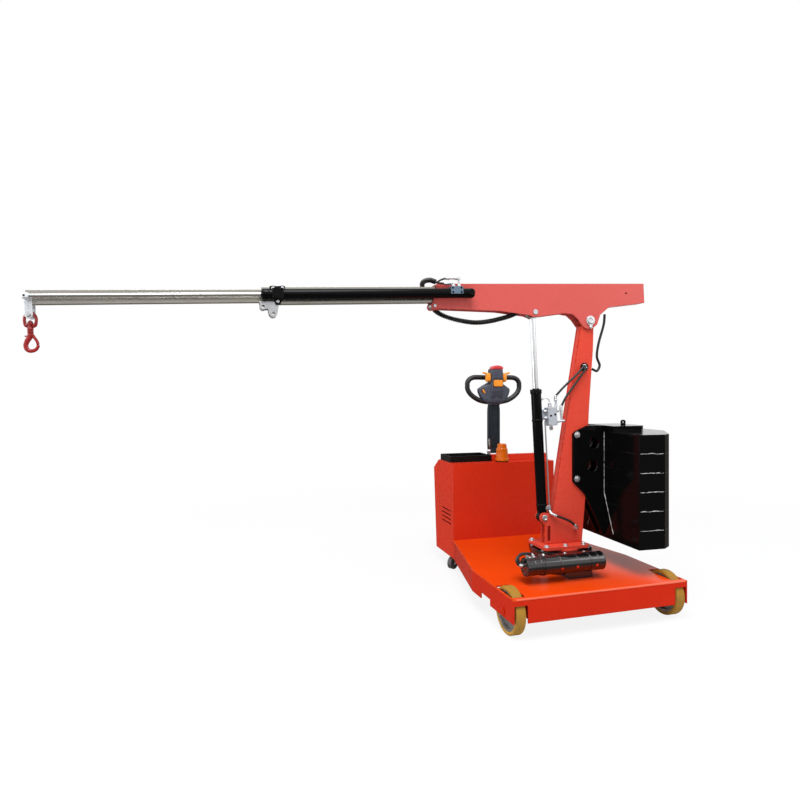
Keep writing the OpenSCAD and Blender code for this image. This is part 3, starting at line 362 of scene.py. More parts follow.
# material: one group's outputs into one Principled shader, the height through a Bump node. Each value goes to the
# group's or the bump's input of that name, or else to the shader's own
def newMaterial(name, group, values):
    material = bpy.data.materials.new(name)
    material.use_nodes = True
    tree = material.node_tree
    shader = tree.nodes["Principled BSDF"]
    inner = tree.nodes.new("ShaderNodeGroup")
    inner.node_tree = group
    bump = tree.nodes.new("ShaderNodeBump")
    for key, value in values.items():
        owner = next(node for node in (inner, bump, shader) if key in node.inputs)
        isColour = owner.inputs[key].type == "RGBA"
        owner.inputs[key].default_value = (*value, 1) if isColour else value
    feed(tree, shader.inputs["Base Color"], inner.outputs["Colour"])
    feed(tree, shader.inputs["Roughness"], inner.outputs["Roughness"])
    feed(tree, bump.inputs["Height"], inner.outputs["Height"])
    if "Normal" in inner.outputs:
        feed(tree, bump.inputs["Normal"], inner.outputs["Normal"])
    feed(tree, shader.inputs["Normal"], bump.outputs[0])
    return material


# looks: one row per finish, its values in the order of the columns. The red paint comes in shades, worn
# differently and with painted light and shade: skirts darker as painted shade, box lighter as painted light,
# turntable, column and boom pinker as painted sky reflection, deck rim lighter as painted highlight
coatColumns = ["Colour", "Worn Colour", "Shade", "Ripple", "Dust", "Wear", "Gloss Rough", "Specular IOR Level",
               "Strength", "Distance"]
coatLooks = {
    # redPaint: the skirts' red, darker than the deck's as painted shade
    "redPaint": ((0.52, 0.016, 0.002), (0.7, 0.15, 0.08), 0.22, 0.5, 0.05, 0.5, 0.22, 0.05, 0.1, 0.0003),
    "redDeck": ((0.72, 0.05, 0.001), (0.84, 0.26, 0.12), 0.2, 0.4, 0.05, 0.45, 0.1, 0.07, 0.08, 0.0003),
    # redBoxLit: the same red, lighter on the box and plinth as painted light
    "redBoxLit": ((0.6, 0.03, 0.01), (0.76, 0.18, 0.1), 0.22, 0.5, 0.03, 0.5, 0.22, 0.09, 0.1, 0.0003),
    # redRimHighlight: lighter than the deck's red as painted highlight along the folded edge
    "redRimHighlight": ((0.74, 0.1, 0.04), (0.84, 0.36, 0.26), 0.5, 0.5, 0.02, 0.3, 0.3, 0.6, 0.1, 0.0003),
    # redColumnSheen and redBoomSheen: pinker base colours that paint the sky's reflection
    "redColumnSheen": ((0.62, 0.056, 0.032), (0.8, 0.26, 0.2), 0.16, 0.4, 0.03, 0.5, 0.22, 0.12, 0.08, 0.0003),
    "redBoomSheen": ((0.54, 0.086, 0.074), (0.82, 0.34, 0.28), 0.12, 0.4, 0.0, 0.5, 0.2, 0.16, 0.08, 0.0003),
    "blackPaint": ((0.0025, 0.0026, 0.0028), (0.06, 0.06, 0.06), 0.5, 0.5, 0.012, 0.4, 0.06, 0.09, 0.08, 0.0003),
    "blackGloss": ((0.003, 0.003, 0.004), (0.3, 0.05, 0.03), 0.5, 0.7, 0.02, 0.6, 0.02, 0.85, 0.12, 0.0004),
    "hookRed": ((0.27, 0.009, 0.008), (0.46, 0.14, 0.12), 0.9, 1.0, 0.0, 0.5, 0.18, 0.45, 0.2, 0.0004),
}
metalColumns = ["Colour", "Stain", "Stretch", "Stain Amount", "Base Rough", "Metallic", "Strength", "Distance"]
metalLooks = {
    "castHub": ((0.42, 0.42, 0.42), (0.13, 0.11, 0.09), (260.0, 260.0, 260.0), 0.7, 0.34, 0.85, 0.5, 0.0008),
    "zincSteel": ((0.66, 0.67, 0.7), (0.42, 0.4, 0.36), (120.0, 120.0, 120.0), 0.45, 0.22, 0.95, 0.15, 0.0003),
    "tubeSteel": ((0.4, 0.385, 0.345), (0.3, 0.26, 0.19), (1.2, 60.0, 60.0), 0.25, 0.16, 1.0, 0.01, 0.0001),
    "chromedRod": ((0.8, 0.82, 0.84), (0.62, 0.62, 0.62), (200.0, 200.0, 900.0), 0.2, 0.06, 1.0, 0.05, 0.0002),
    "alloyBlock": ((0.62, 0.66, 0.72), (0.45, 0.47, 0.5), (300.0, 20.0, 300.0), 0.25, 0.3, 0.8, 0.15, 0.0003),
    "portBlue": ((0.12, 0.18, 0.25), (0.1, 0.12, 0.14), (200.0, 200.0, 200.0), 0.4, 0.32, 0.4, 0.2, 0.0003),
    "zincBright": ((0.86, 0.89, 0.93), (0.62, 0.64, 0.66), (90.0, 90.0, 90.0), 0.3, 0.26, 0.75, 0.12, 0.0003),
    # weldBead: light grey as painted glint on beads that sit on black paint
    "weldBead": ((0.6, 0.6, 0.59), (0.05, 0.05, 0.05), (60.0, 60.0, 60.0), 1.0, 0.4, 0.3, 0.5, 0.001),
}
mouldColumns = ["Colour", "Pit Scale", "Base Rough", "Dust", "Specular IOR Level", "Strength", "Distance"]
mouldLooks = {
    "blackPlastic": ((0.004, 0.003, 0.003), 700.0, 0.4, 0.015, 0.12, 0.2, 0.0003),
    "navyPlastic": ((0.008, 0.013, 0.019), 700.0, 0.36, 0.02, 0.3, 0.2, 0.0003),
    "greyPlastic": ((0.05, 0.057, 0.08), 800.0, 0.34, 0.08, 0.35, 0.2, 0.0003),
    "gripRubber": ((0.01, 0.01, 0.011), 500.0, 0.32, 0.06, 0.4, 0.3, 0.0004),
    "buttonRed": ((0.55, 0.03, 0.035), 600.0, 0.22, 0.08, 0.5, 0.08, 0.0003),
    "switchOrange": ((0.8, 0.27, 0.012), 600.0, 0.28, 0.06, 0.5, 0.1, 0.0003),
    "hoseRubber": ((0.009, 0.009, 0.009), 400.0, 0.34, 0.05, 0.35, 0.3, 0.0004),
    "conduitRubber": ((0.007, 0.007, 0.007), 300.0, 0.2, 0.05, 0.4, 0.2, 0.0003),
    "treadTan": ((0.34, 0.175, 0.022), 260.0, 0.4, 0.6, 0.15, 0.3, 0.0006),
    "treadYellow": ((0.52, 0.27, 0.022), 260.0, 0.36, 0.5, 0.5, 0.2, 0.0005),
    "casterTread": ((0.05, 0.05, 0.05), 300.0, 0.45, 0.5, 0.5, 0.3, 0.0005),
    "padPlastic": ((0.72, 0.7, 0.62), 500.0, 0.4, 0.2, 0.5, 0.1, 0.0003),
    "beaconOrange": ((0.62, 0.12, 0.0), 300.0, 0.08, 0.5, 0.2, 0.06, 0.0003),
}
# values that only a few moulded finishes have
extraLooks = {
    "buttonRed": {"Coat Weight": 0.2},
    "treadTan": {"Mottle": 0.5, "Dust Colour": (0.16, 0.1, 0.045)},
    "treadYellow": {"Mottle": 0.3, "Dust Colour": (0.25, 0.16, 0.08)},
    "beaconOrange": {"Mottle": 1.2, "Dust Colour": (0.16, 0.028, 0.004), "Coat Weight": 0.08, "Coat Roughness": 0.05},
}
finish = {}
for group, columns, looks in ((makeCoatGroup(), coatColumns, coatLooks), (makeMetalGroup(), metalColumns, metalLooks),
                              (makeMouldGroup(), mouldColumns, mouldLooks)):
    for name, row in looks.items():
        finish[name] = newMaterial(name, group, {**dict(zip(columns, row)), **extraLooks.get(name, {})})
print("materials built:", len(finish))


# finish of each CAD node that keeps its own shape
nodeFinish = {
    # the red shades below are one paint, told apart by painted light and shade
    "redPaint": ["skirts", "frame_rails"],
    "redBoxLit": ["drive_housing", "tiller_plinth"],
    "redColumnSheen": ["turntable", "column"],
    "redDeck": ["deck"],
    "redBoomSheen": ["beam"],
    "blackPaint": ["cheek_plates", "weight_slabs_a", "weight_slabs_b", "weight_cover", "luff_barrel", "tube_clamp",
                   "telescope_barrel", "drive_unit", "lifting_eye"],
    "blackGloss": ["slew_housing", "slew_motor"],
    "blackPlastic": ["top_tray", "beacon_base", "grommet"],
    "navyPlastic": ["tiller_stem"],
    "casterTread": ["caster_wheel_left", "caster_wheel_right"],
    "castHub": ["wheel_left", "wheel_right"],
    "zincSteel": ["caster_fork_left", "caster_fork_right", "steering_post", "foot_pin", "luff_pipe",
                  "boom_pins", "lug_plate"],
    "tubeSteel": ["outer_tube", "inner_tube"],
    "chromedRod": ["luff_rod", "telescope_rod"],
    "alloyBlock": ["valve_block"],
    "portBlue": ["port_block"],
    "padPlastic": ["wear_pads"],
}
for label, names in nodeFinish.items():
    for nodeName in names:
        nodes[nodeName].data.materials.clear()
        nodes[nodeName].data.materials.append(finish[label])
print("nodes finished")


# camera, lamps, sky and floor
view = {"place": (-1.7588, -2.8166, 1.1877), "turn": 16.38, "lens": 25.785, "sensor": 36.0, "shift": -0.0125}
studio = {
    "sky": 0.44, "skyColour": (0.93, 0.96, 1.0, 1), "floorHalf": 40.0, "floorColour": (0.82, 0.82, 0.82, 1),
    "floorLift": 0.87, "liftNear": 1.6, "liftFar": 5.0, "floorInMetal": (0.20, 0.18, 0.155, 1),
    # place, target, size and power of each lamp
    "lamps": {"keyLamp": ((-1.7, -2.8, 6.9), (-0.1, 0.2, 0.7), 4.2, 590.0),
              "sideLamp": ((4.2, -3.0, 3.6), (0.2, 0.2, 0.8), 3.0, 70.0),
              "leftLamp": ((-4.4, 0.4, 1.5), (-0.5, 0.5, 0.5), 2.4, 45.0)},
}


# an object at the origin of the scene
def addObject(name, data):
    thing = bpy.data.objects.new(name, data)
    bpy.context.scene.collection.objects.link(thing)
    return thing


# level camera, turned about z only, its picture moved up or down by the shift
def addCamera():
    data = bpy.data.cameras.new("camera")
    data.lens = view["lens"]
    data.sensor_width = view["sensor"]
    data.shift_y = view["shift"]
    data.clip_end = 100.0
    camera = addObject("camera", data)
    camera.location = view["place"]
    camera.rotation_euler = (math.pi / 2, 0.0, -math.radians(view["turn"]))
    bpy.context.scene.camera = camera


# square lamps that look from their place at their target
def addLamps():
    for name, (spot, target, size, power) in studio["lamps"].items():
        data = bpy.data.lights.new(name, "AREA")
        data.size = size
        data.energy = power
        lamp = addObject(name, data)
        lamp.location = spot
        lamp.rotation_euler = (Vector(target) - Vector(spot)).to_track_quat("-Z", "Y").to_euler()


# sky: white for rays that are seen, mirrored or let through, and a weaker sky for the light it gives
def addSky():
    world = bpy.data.worlds.new("studioSky")
    bpy.context.scene.world = world
    world.use_nodes = True
    tree = world.node_tree
    tree.nodes.clear()
    rays = tree.nodes.new("ShaderNodeLightPath").outputs
    seen = mathNode(tree, "MAXIMUM", rays["Is Camera Ray"], rays["Is Glossy Ray"])
    seen = mathNode(tree, "MAXIMUM", seen, rays["Is Transmission Ray"])
    sky = addNode(tree, "ShaderNodeBackground", {"Color": studio["skyColour"], "Strength": studio["sky"]})
    white = addNode(tree, "ShaderNodeBackground", {"Color": (1, 1, 1, 1), "Strength": 1.0})
    mix = addNode(tree, "ShaderNodeMixShader", {0: seen, 1: sky, 2: white})
    feed(tree, tree.nodes.new("ShaderNodeOutputWorld").inputs["Surface"], mix)


# floor: one wide face. Seen directly it is lifted towards white, more so far away, and metal sees it darker
def addFloor():
    half = studio["floorHalf"]
    mesh = bpy.data.meshes.new("floor")
    mesh.from_pydata([(-half, -half, 0), (half, -half, 0), (half, half, 0), (-half, half, 0)], [], [[0, 1, 2, 3]])
    floor = addObject("floor", mesh)
    material = bpy.data.materials.new("floorPale")
    material.use_nodes = True
    tree = material.node_tree
    bsdf = tree.nodes["Principled BSDF"]
    for key, value in {"Base Color": studio["floorColour"], "Roughness": 0.9, "Specular IOR Level": 0.1}.items():
        bsdf.inputs[key].default_value = value
    rays = tree.nodes.new("ShaderNodeLightPath").outputs
    coord = addNode(tree, "ShaderNodeTexCoord", {}, "Object")
    far = addNode(tree, "ShaderNodeVectorMath", {0: coord}, "Value", operation="LENGTH")
    lift = rangeNode(tree, far, studio["liftNear"], studio["liftFar"], studio["floorLift"], 1.0,
                     interpolation_type="SMOOTHSTEP")
    lifted = mathNode(tree, "MULTIPLY", rays["Is Camera Ray"], lift)
    glow = addNode(tree, "ShaderNodeEmission", {"Strength": 1.0})
    pale = addNode(tree, "ShaderNodeMixShader", {0: lifted, 1: bsdf.outputs[0], 2: glow})
    dim = addNode(tree, "ShaderNodeEmission", {"Color": studio["floorInMetal"]})
    glossy = addNode(tree, "ShaderNodeMixShader", {0: rays["Is Glossy Ray"], 1: pale, 2: dim})
    feed(tree, tree.nodes["Material Output"].inputs["Surface"], glossy)
    mesh.materials.append(material)


addCamera()
addSky()
addLamps()
addFloor()
bpy.context.scene.view_settings.view_transform = "Standard"
print("camera, lamps and floor placed")


# a point of the deck's own frame stays where it is
def asIs(p):
    return np.asarray(p, float)


# points in mm on a circle: centre + r (cos w * a + sin w * b)
def circleOf(centre, r, count, start, a, b):
    w = np.arange(count)[:, None] * 2 * np.pi / count + start
    return np.array(centre) + r * (np.cos(w) * np.array(a) + np.sin(w) * np.array(b))


# a row of turned parts and its mirror on the far side
def both(placed, axis, points, *shape):
    return [(placed, axis, points, *shape), (placed, mirrorY * axis, mirrorY * points, *shape)]


# profiles of turned parts: height and radius in metres, and a mark for rings with corners
profiles = {
    "plug": [(0, 0.0072, 0), (0.002, 0.0072, 0), (0.004, 0.00504, 0), (0.004, 0.00216, 1)],
    "washer": [(0, 0.0130, 0), (0.0010, 0.0130, 0), (0.0012, 0.0120, 0)],
    "pinFace": [(0, 0.021, 0), (0.0025, 0.021, 0), (0.0035, 0.017, 0), (0.0035, 0.012, 0), (0.0015, 0.010, 0),
                (0.0015, 0.002, 0)],
    "gland": [(0, 0.0315, 0), (0.006, 0.0318, 0), (0.007, 0.0300, 0), (0.009, 0.0300, 0), (0.010, 0.0318, 0),
              (0.020, 0.0318, 0), (0.024, 0.0290, 0), (0.0245, 0.0200, 0), (0.029, 0.0180, 0), (0.029, 0.0153, 0)],
    "collar": [(0, 0.0285, 0), (0.003, 0.0305, 0), (0.010, 0.0305, 0), (0.013, 0.0285, 0)],
    "rearRing": [(0, 0.0235, 0), (0.004, 0.0262, 0), (0.012, 0.0262, 0), (0.016, 0.0250, 0)],
    "frontGland": [(0, 0.0250, 0), (0.004, 0.0264, 0), (0.030, 0.0264, 0), (0.034, 0.0240, 0), (0.036, 0.0150, 0),
                   (0.040, 0.0140, 0), (0.040, 0.0093, 0)],
    "boss": [(0, 0.019, 0), (0.004, 0.019, 0), (0.006, 0.016, 0), (0.006, 0.010, 0), (0.003, 0.008, 0)],
    "stub": [(0, 0.011, 0), (0.010, 0.011, 0), (0.012, 0.009, 0), (0.022, 0.009, 0), (0.024, 0.007, 0)],
    "screw": [(0, 0.0052, 0), (0.0018, 0.0050, 0), (0.0018, 0.0028, 1), (0.0004, 0.0026, 1)],
    "port": [(0, 0.0062, 0), (0.0012, 0.0058, 0), (0.0012, 0.0040, 0), (0.0003, 0.0036, 0)],
    "band": [(0, 0.0470, 0), (0.001, 0.0480, 0), (0.004, 0.0480, 0), (0.005, 0.0470, 0)],
    "rodScrew": [(0, 0.0042, 0), (0.0010, 0.0040, 0), (0.0010, 0.0024, 1), (0.0002, 0.0022, 1)],
    "bearingCap": [(0, 0.027, 0), (0.001, 0.027, 0), (0.0015, 0.0235, 0), (0.0015, 0.0175, 0), (0.0008, 0.0145, 0)],
}
footFace = [(h * 0.9, r * 0.78, c) for h, r, c in profiles["pinFace"]]
thinBand = [(h, r - 0.0025, c) for h, r, c in profiles["band"]]
clampSpots = [(1692, 74.5, 178), (1735, 74.5, 178), (1712, 38, 122)]
alongX, alongY, alongZ = (1, 0, 0), (0, 1, 0), (0, 0, 1)
againstX, againstY, againstZ = (-1, 0, 0), (0, -1, 0), (0, 0, -1)

# bolts, nuts, pins and fittings. Each piece: its body, its finish, then rows of how its points are placed, the axis
# there, points in mm, profile, and where they aren't 24 and 6, its sides and corners
turnedParts = {
    "turntableBolts": ("superstructure", "zincSteel", [
        (asIs, alongZ, [(x, y, 341) for y in (-80, 80) for x in (-131, -17, 95)], boltProfile(0.011, 0.011))]),
    "cheekBolts": ("superstructure", "zincSteel",
                   both(asIs, againstY, [(85, -37, 938), (85, -37, 694)], boltProfile(0.012, 0.011))),
    # low enough for the turntable plate to pass over them
    "ringBolts": ("chassis", "zincSteel", [
        (asIs, alongZ, circleOf((0, 0, 318), 152.5, 8, np.pi / 8, alongX, alongY), boltProfile(0.008, 0.0055, 1.3))]),
    "motorEndScrews": ("chassis", "blackGloss", [
        (asIs, againstX, circleOf((-343, -225, 295), 34, 6, 0.3, alongY, alongZ), capProfile(0.0055, 0.006), 18, 6)]),
    # the plugs take the skirts' red, darkened as painted shade
    "wormPlugs": ("chassis", "redPaint", [
        (asIs, (0, -1, -0.15), [(-155, -270.5, 286), (-66, -270.5, 286), (49, -270.5, 286)], profiles["plug"])]),
    # two stand on the saddle above the barrel, the third on the plate below it
    "clampBolts": ("boom", "zincBright", [(onBoom, alongY, clampSpots, boltProfile(0.0085, 0.007, 1.25))]),
    "clampWashers": ("boom", "blackPaint", [(onBoom, alongY, clampSpots, profiles["washer"], 32, 0)]),
    "keeperScrews": ("boom", "zincSteel",
                     both(onBoom, alongY, [(0, 43, -38), (0, 43, 16)], boltProfile(0.0055, 0.006, 1.3))),
    "plinthScrews": ("chassis", "zincSteel", [
        (asIs, alongZ, [(60, 789, 745), (160, 789, 745), (280, 789, 745)], boltProfile(0.006, 0.005))]),
    # pin ends: chamfered washers and grooved faces
    "pinFaces": ("boom", "zincSteel", both(onBoom, alongY, [(0, 43, 0)], profiles["pinFace"], 32, 0)),
    "footPinFaces": ("superstructure", "zincSteel", both(asIs, againstY, [(-112, -30, 487)], footFace, 32, 0)),
    # gland nut with two grooves and the wiper round the rod, and two plain collars
    "luffGland": ("luff_cylinder", "blackPaint", [
        (onRam, alongZ, [(0, 0, 681.5)], profiles["gland"], 48, 0),
        (onRam, alongZ, [(0, 0, 62), (0, 0, 528)], profiles["collar"], 48, 0)]),
    "telescopeGland": ("boom", "blackPaint", [
        (onBoom, alongX, [(720, 65, 152)], profiles["rearRing"], 48, 0),
        (onBoom, alongX, [(1752, 65, 152)], profiles["frontGland"], 48, 0)]),
    # round rear fitting of the telescope cylinder, on the near side
    "telescopeRearBoss": ("boom", "blackPaint", [(onBoom, alongY, [(735, 90, 152)], profiles["boss"], 32, 0)]),
    # nuts where the elbows leave the valve block and below the hose sleeves, then banjo bolts to the pipe
    "valveFittings": ("luff_cylinder", "zincSteel", [
        (onRam, alongZ, [(-97, 38, 603), (-128, 38, 560)], boltProfile(0.0085, 0.012, 1.0)),
        (onRam, againstZ, [(-66, 30, 496)], boltProfile(0.010, 0.014, 1.0)),
        (onRam, againstX, [(-97, 38, 524), (-97, 38, 582)], boltProfile(0.0095, 0.010, 1.0)),
        (onRam, alongZ, [(-66, 26, 602)], profiles["stub"], 24, 0),
        (onRam, alongX, [(-42, 20, 582), (-42, 20, 545)], boltProfile(0.0085, 0.010, 1.1))]),
    # screw heads and plugged ports on the valve block's near face, sunk dark
    "valveScrews": ("luff_cylinder", "zincSteel", [
        (onRam, alongY, [(-86, 48, 594), (-52, 48, 594), (-86, 48, 511), (-52, 48, 511)], profiles["screw"])]),
    "valvePorts": ("luff_cylinder", "blackPlastic", [
        (onRam, alongY, [(-58, 48, 558), (-84, 48, 563)], profiles["port"], 24, 0)]),
    "portFittings": ("boom", "zincSteel", [
        (onBoom, alongZ, [(793, 65, 184), (824, 65, 184)], boltProfile(0.010, 0.012, 1.0)),
        (onBoom, alongZ, [(793, 65, 221)], boltProfile(0.0098, 0.018, 1.0)),
        (onBoom, alongX, [(804, 65, 228), (830, 65, 203)], boltProfile(0.0085, 0.010, 1.0))]),
    "portScrews": ("boom", "blackPaint", [
        (onBoom, alongY, [(792, 94, 176), (838, 94, 176), (792, 94, 154), (838, 94, 154)], profiles["screw"])]),
    # ports on the slewing motor
    "motorPorts": ("chassis", "zincSteel", [
        (asIs, alongZ, [(-262, -165, 318), (-288, -156, 318)], boltProfile(0.0105, 0.012, 1.0)),
        (asIs, alongZ, [(-268, -186, 318), (-292, -186, 318)], capProfile(0.0095, 0.015)),
        (asIs, alongX, [(-252, -160, 308), (-252, -160, 284)], boltProfile(0.009, 0.014, 1.1)),
        (asIs, alongZ, [(-226, -206, 338)], capProfile(0.008, 0.011))]),
    # thin turned bands on the worm's tube and the motor
    "wormBands": ("chassis", "blackGloss", [
        (asIs, alongX, [(-60, -225, 295), (60, -225, 295), (96, -225, 295)], profiles["band"], 60, 0),
        (asIs, alongX, [(-300, -225, 295)], thinBand, 60, 0)], 50),
    "tiltNuts": ("steering", "zincSteel", [
        (asIs, againstX, [(-41, 846, 762)], capProfile(0.011, 0.008)),
        (asIs, alongX, [(41, 846, 762)], capProfile(0.011, 0.008))]),
    "hookBolt": ("inner_boom", "zincSteel", [
        (onBoom, alongY, [(2759, 25, 76.5)], boltProfile(0.0085, 0.0075, 1.25)),
        (onBoom, againstY, [(2759, -25, 76.5)], capProfile(0.0095, 0.0120))]),
    "rodScrew": ("inner_boom", "blackPaint", [(onBoom, alongY, [(2756, 81, 151)], profiles["rodScrew"])]),
}


# each row is turned about its axis, which is placed like its points
def addTurnedParts():
    for name, (body, look, rows, *angle) in turnedParts.items():
        grids = []
        for placed, axis, points, profile, *shape in rows:
            grids += latheGrids(placed(mm(points)), direction(placed, axis), profile, *shape)
        buildPiece(name, grids, body, look, *angle)


addTurnedParts()
print("bolts, pins and fittings made")


# tiller, in metres: heights over the floor, depths from the steering axis
tiller = {
    # height, half width, front, back of the hub
    "hub": [(1.083, 0.036, -0.029, 0.018), (1.100, 0.040, -0.038, 0.020), (1.120, 0.044, -0.049, 0.020),
            (1.150, 0.048, -0.060, 0.020), (1.180, 0.047, -0.069, 0.018), (1.210, 0.044, -0.0725, 0.012),
            (1.250, 0.041, -0.073, 0.008), (1.300, 0.0405, -0.073, 0.006), (1.323, 0.0400, -0.072, 0.006),
            (1.331, 0.0370, -0.068, 0.002)],
    # half width, low and high edge of the wings, and how far forward their faces stand
    "wings": [(0.000, 1.090, 1.250, 0.055), (0.040, 1.094, 1.244, 0.050), (0.052, 1.097, 1.236, 0.042),
              (0.080, 1.108, 1.221, 0.030), (0.096, 1.128, 1.211, 0.024), (0.112, 1.160, 1.201, 0.017),
              (0.1195, 1.177, 1.195, 0.011), (0.1215, 1.184, 1.191, 0.006)],
    "wingBack": 0.019,
    "loop": [(0.030, 1.274), (0.080, 1.275), (0.128, 1.276), (0.158, 1.273), (0.182, 1.261), (0.196, 1.241),
             (0.198, 1.218), (0.196, 1.194), (0.182, 1.168), (0.158, 1.145), (0.128, 1.126), (0.096, 1.113),
             (0.048, 1.104)],
    "loopRadius": 0.0170,
    # finger ribs: depth, pitch, and where along the width they begin and are full
    "loopRibs": {"depth": 0.022, "pitch": 0.009, "from": 0.17, "fade": 0.015},
    # centre, half sizes, power, and rows and columns where they differ from the usual
    "panel": ((0, -0.0738, 1.2345), (0.0345, 0.0035, 0.0225), 7.0),
    "panelFrame": ((0, -0.0725, 1.2345), (0.0375, 0.0022, 0.0255), 9.0),
    "seam": ((0, -0.0728, 1.2695), (0.0375, 0.0016, 0.0012), 6.0, 10, 24),
    "rocker": ((0, 0, 0), (0.0060, 0.0045, 0.0165), 4.0),
    "bezel": ((0, 0, 0), (0.0095, 0.0030, 0.0205), 5.0),
    "rockerSpot": (-0.0865, -0.0268, 1.178), "rockerTurn": math.radians(-33), "rockerLift": 0.0015,
    "lever": ((0.0595, -0.038, 1.2745), (0.0185, 0.019, 0.0315), 3.2),
    "leverFace": ((0.0595, -0.0565, 1.268), (0.0115, 0.0025, 0.0165), 3.0, 10, 24),
    "ear": ((0, 0, 0), (0.0255, 0.0085, 0.0068), 2.6),
    "earSpot": (0.0805, -0.042, 1.3025), "earTurn": math.radians(12),
    # half width, height of its foot, height at its middle, loss along the arch, half depth and middle
    "button": {"half": 0.0440, "foot": 1.3295, "arch": 0.0285, "sag": 0.0120, "roll": 0.006, "deep": 0.031,
               "y": -0.044},
    "back": ((0, -0.001, 1.295), (0.0402, 0.0085, 0.040), 8.0),
    "vent": ((0, 0.0085, 1.275), (0.026, 0.0012, 0.0022), 4.0, 10, 24), "ventStep": 0.012,
    "ridge": ((0.0335, -0.0165, 0.985), (0.0026, 0.0025, 0.088), 4.0),
    "rail": ((0.0375, 0, 0.925), (0.0058, 0.0150, 0.150), 7.0),
    "band": ((0, 0, 1.082), (0.0385, 0.0205, 0.007), 8.0),
    "spring": [(-0.030, -0.006, 0.735), (-0.036, -0.012, 0.79), (-0.038, -0.014, 0.85)],
    "springRadius": (0.0035, 0.0065), "springRod": 0.45,
}


# point of the tiller: its depth is counted from the steering axis
def onTiller(p):
    return np.asarray(p, float) + np.array([0, place["steerY"], 0])


# a block from the tiller's list, on one side, and raised if asked
def tillerBlock(key, side=1, rise=0.0):
    centre, *shape = tiller[key]
    return softBlock(onTiller(centre) * np.array([side, 1, 1]) + np.array([0, 0, rise]), *shape)


# turn about y: x' = x cos a + z sin a, z' = z cos a - x sin a
def turnAboutY(a):
    return np.array([[math.cos(a), 0, -math.sin(a)], [0, 1, 0], [math.sin(a), 0, math.cos(a)]])


# hub: at height z, x = w(z) f(cos t), y = middle(z) + depth(z) f(sin t), f squares the curve off
def addTillerHead():
    y0 = place["steerY"]
    rows = np.array(tiller["hub"])
    z = np.concatenate([np.linspace(1.083, 1.321, 60), np.linspace(1.323, 1.331, 8)])
    w, front, back = [np.interp(z, rows[:, 0], rows[:, k])[:, None] for k in (1, 2, 3)]
    t = np.linspace(0, 2 * np.pi, 72, endpoint=False)
    hub = np.stack([w * squared(np.cos(t), 10.0),
                    y0 + (front + back) / 2 + (back - front) / 2 * squared(np.sin(t), 10.0),
                    np.repeat(z[:, None], 72, 1)], -1)
    # wings: across x, a section between the low and high edges that swells forward towards the hub
    rows = np.array(tiller["wings"])
    half = rows[-1, 0]
    x = np.concatenate([-np.linspace(half, 0, 45), np.linspace(0, half, 45)[1:]])
    low, high, out = [np.interp(np.abs(x), rows[:, 0], rows[:, k])[:, None] for k in (1, 2, 3)]
    t = np.linspace(0, 2 * np.pi, 56, endpoint=False)
    depth = np.where(np.cos(t) < 0, out, np.minimum(out, tiller["wingBack"]))
    wing = np.stack([np.repeat(x[:, None], 56, 1), y0 + depth * squared(np.cos(t), 4.4),
                     (low + high) / 2 + (high - low) / 2 * squared(np.sin(t), 6.4)], -1)
    buildPiece("tillerHead", [hub, wing], "tiller", "greyPlastic", 50, ["tiller_head"])


# blocks with round corners, turned where they lean
def addTillerControls():
    # orange panel in a dark frame on the hub's face, a rocker on the left wing
    spin, spot = turnAboutY(tiller["rockerTurn"]), onTiller(tiller["rockerSpot"])
    rocker = softBlock(*tiller["rocker"]) @ spin + spot - np.array([0, tiller["rockerLift"], 0])
    buildPiece("tillerPanel", [tillerBlock("panel"), rocker], "tiller", "switchOrange", 50)
    buildPiece("tillerBezels", [tillerBlock("panelFrame"), tillerBlock("seam"),
                                softBlock(*tiller["bezel"]) @ spin + spot], "tiller", "blackPlastic", 50)
    # thumb switches: a rounded lever on each side of the hub with an ear that reaches out over the loop
    levers = []
    for side in (-1, 1):
        ear = softBlock(*tiller["ear"]) @ turnAboutY(-side * tiller["earTurn"])
        levers += [tillerBlock("lever", side), ear + onTiller(tiller["earSpot"]) * np.array([side, 1, 1]),
                   tillerBlock("leverFace", side)]
    buildPiece("thumbSwitches", levers, "tiller", "switchOrange", 60, ["thumb_switches"])


# loops: a round bar with soft finger ribs, r = r0 (1 + depth cos(2 pi s / pitch)) along the outer run
def addTillerLoops():
    ribs, loops = tiller["loopRibs"], []
    for side in (-1, 1):
        path, s = smoothPath([(side * a, place["steerY"], h) for a, h in tiller["loop"]], 220)
        ribbed = np.clip((np.abs(path[:, 0]) - ribs["from"]) / ribs["fade"], 0, 1)
        radius = tiller["loopRadius"] * (1 + ribs["depth"] * ribbed * np.cos(2 * np.pi * s / ribs["pitch"]))
        loops.append(tubeGrid(path, radius, 24, (0, 1, 0)))
    buildPiece("gripLoops", loops, "tiller", "gripRubber", 60, ["tiller_grips"])


# red button: an arch over x, its top = arch - sag x^2 - roll x^8, its ends rolled under
def addTillerButton():
    b = tiller["button"]
    u = np.linspace(-1, 1, 45)[:, None]
    v = np.linspace(0, 2 * np.pi, 40, endpoint=False)[None, :]
    arch = b["arch"] - b["sag"] * u ** 2 - b["roll"] * u ** 8
    edge = np.sqrt(np.clip(1 - u ** 12, 0.02, 1))
    cap = np.stack([b["half"] * u + 0 * v,
                    place["steerY"] + b["y"] + b["deep"] * edge * squared(np.cos(v), 6.0),
                    b["foot"] + arch / 2 + arch / 2 * edge * squared(np.sin(v), 5.2)], -1)
    buildPiece("tillerButton", [cap], "tiller", "buttonRed", 60, ["belly_button"])


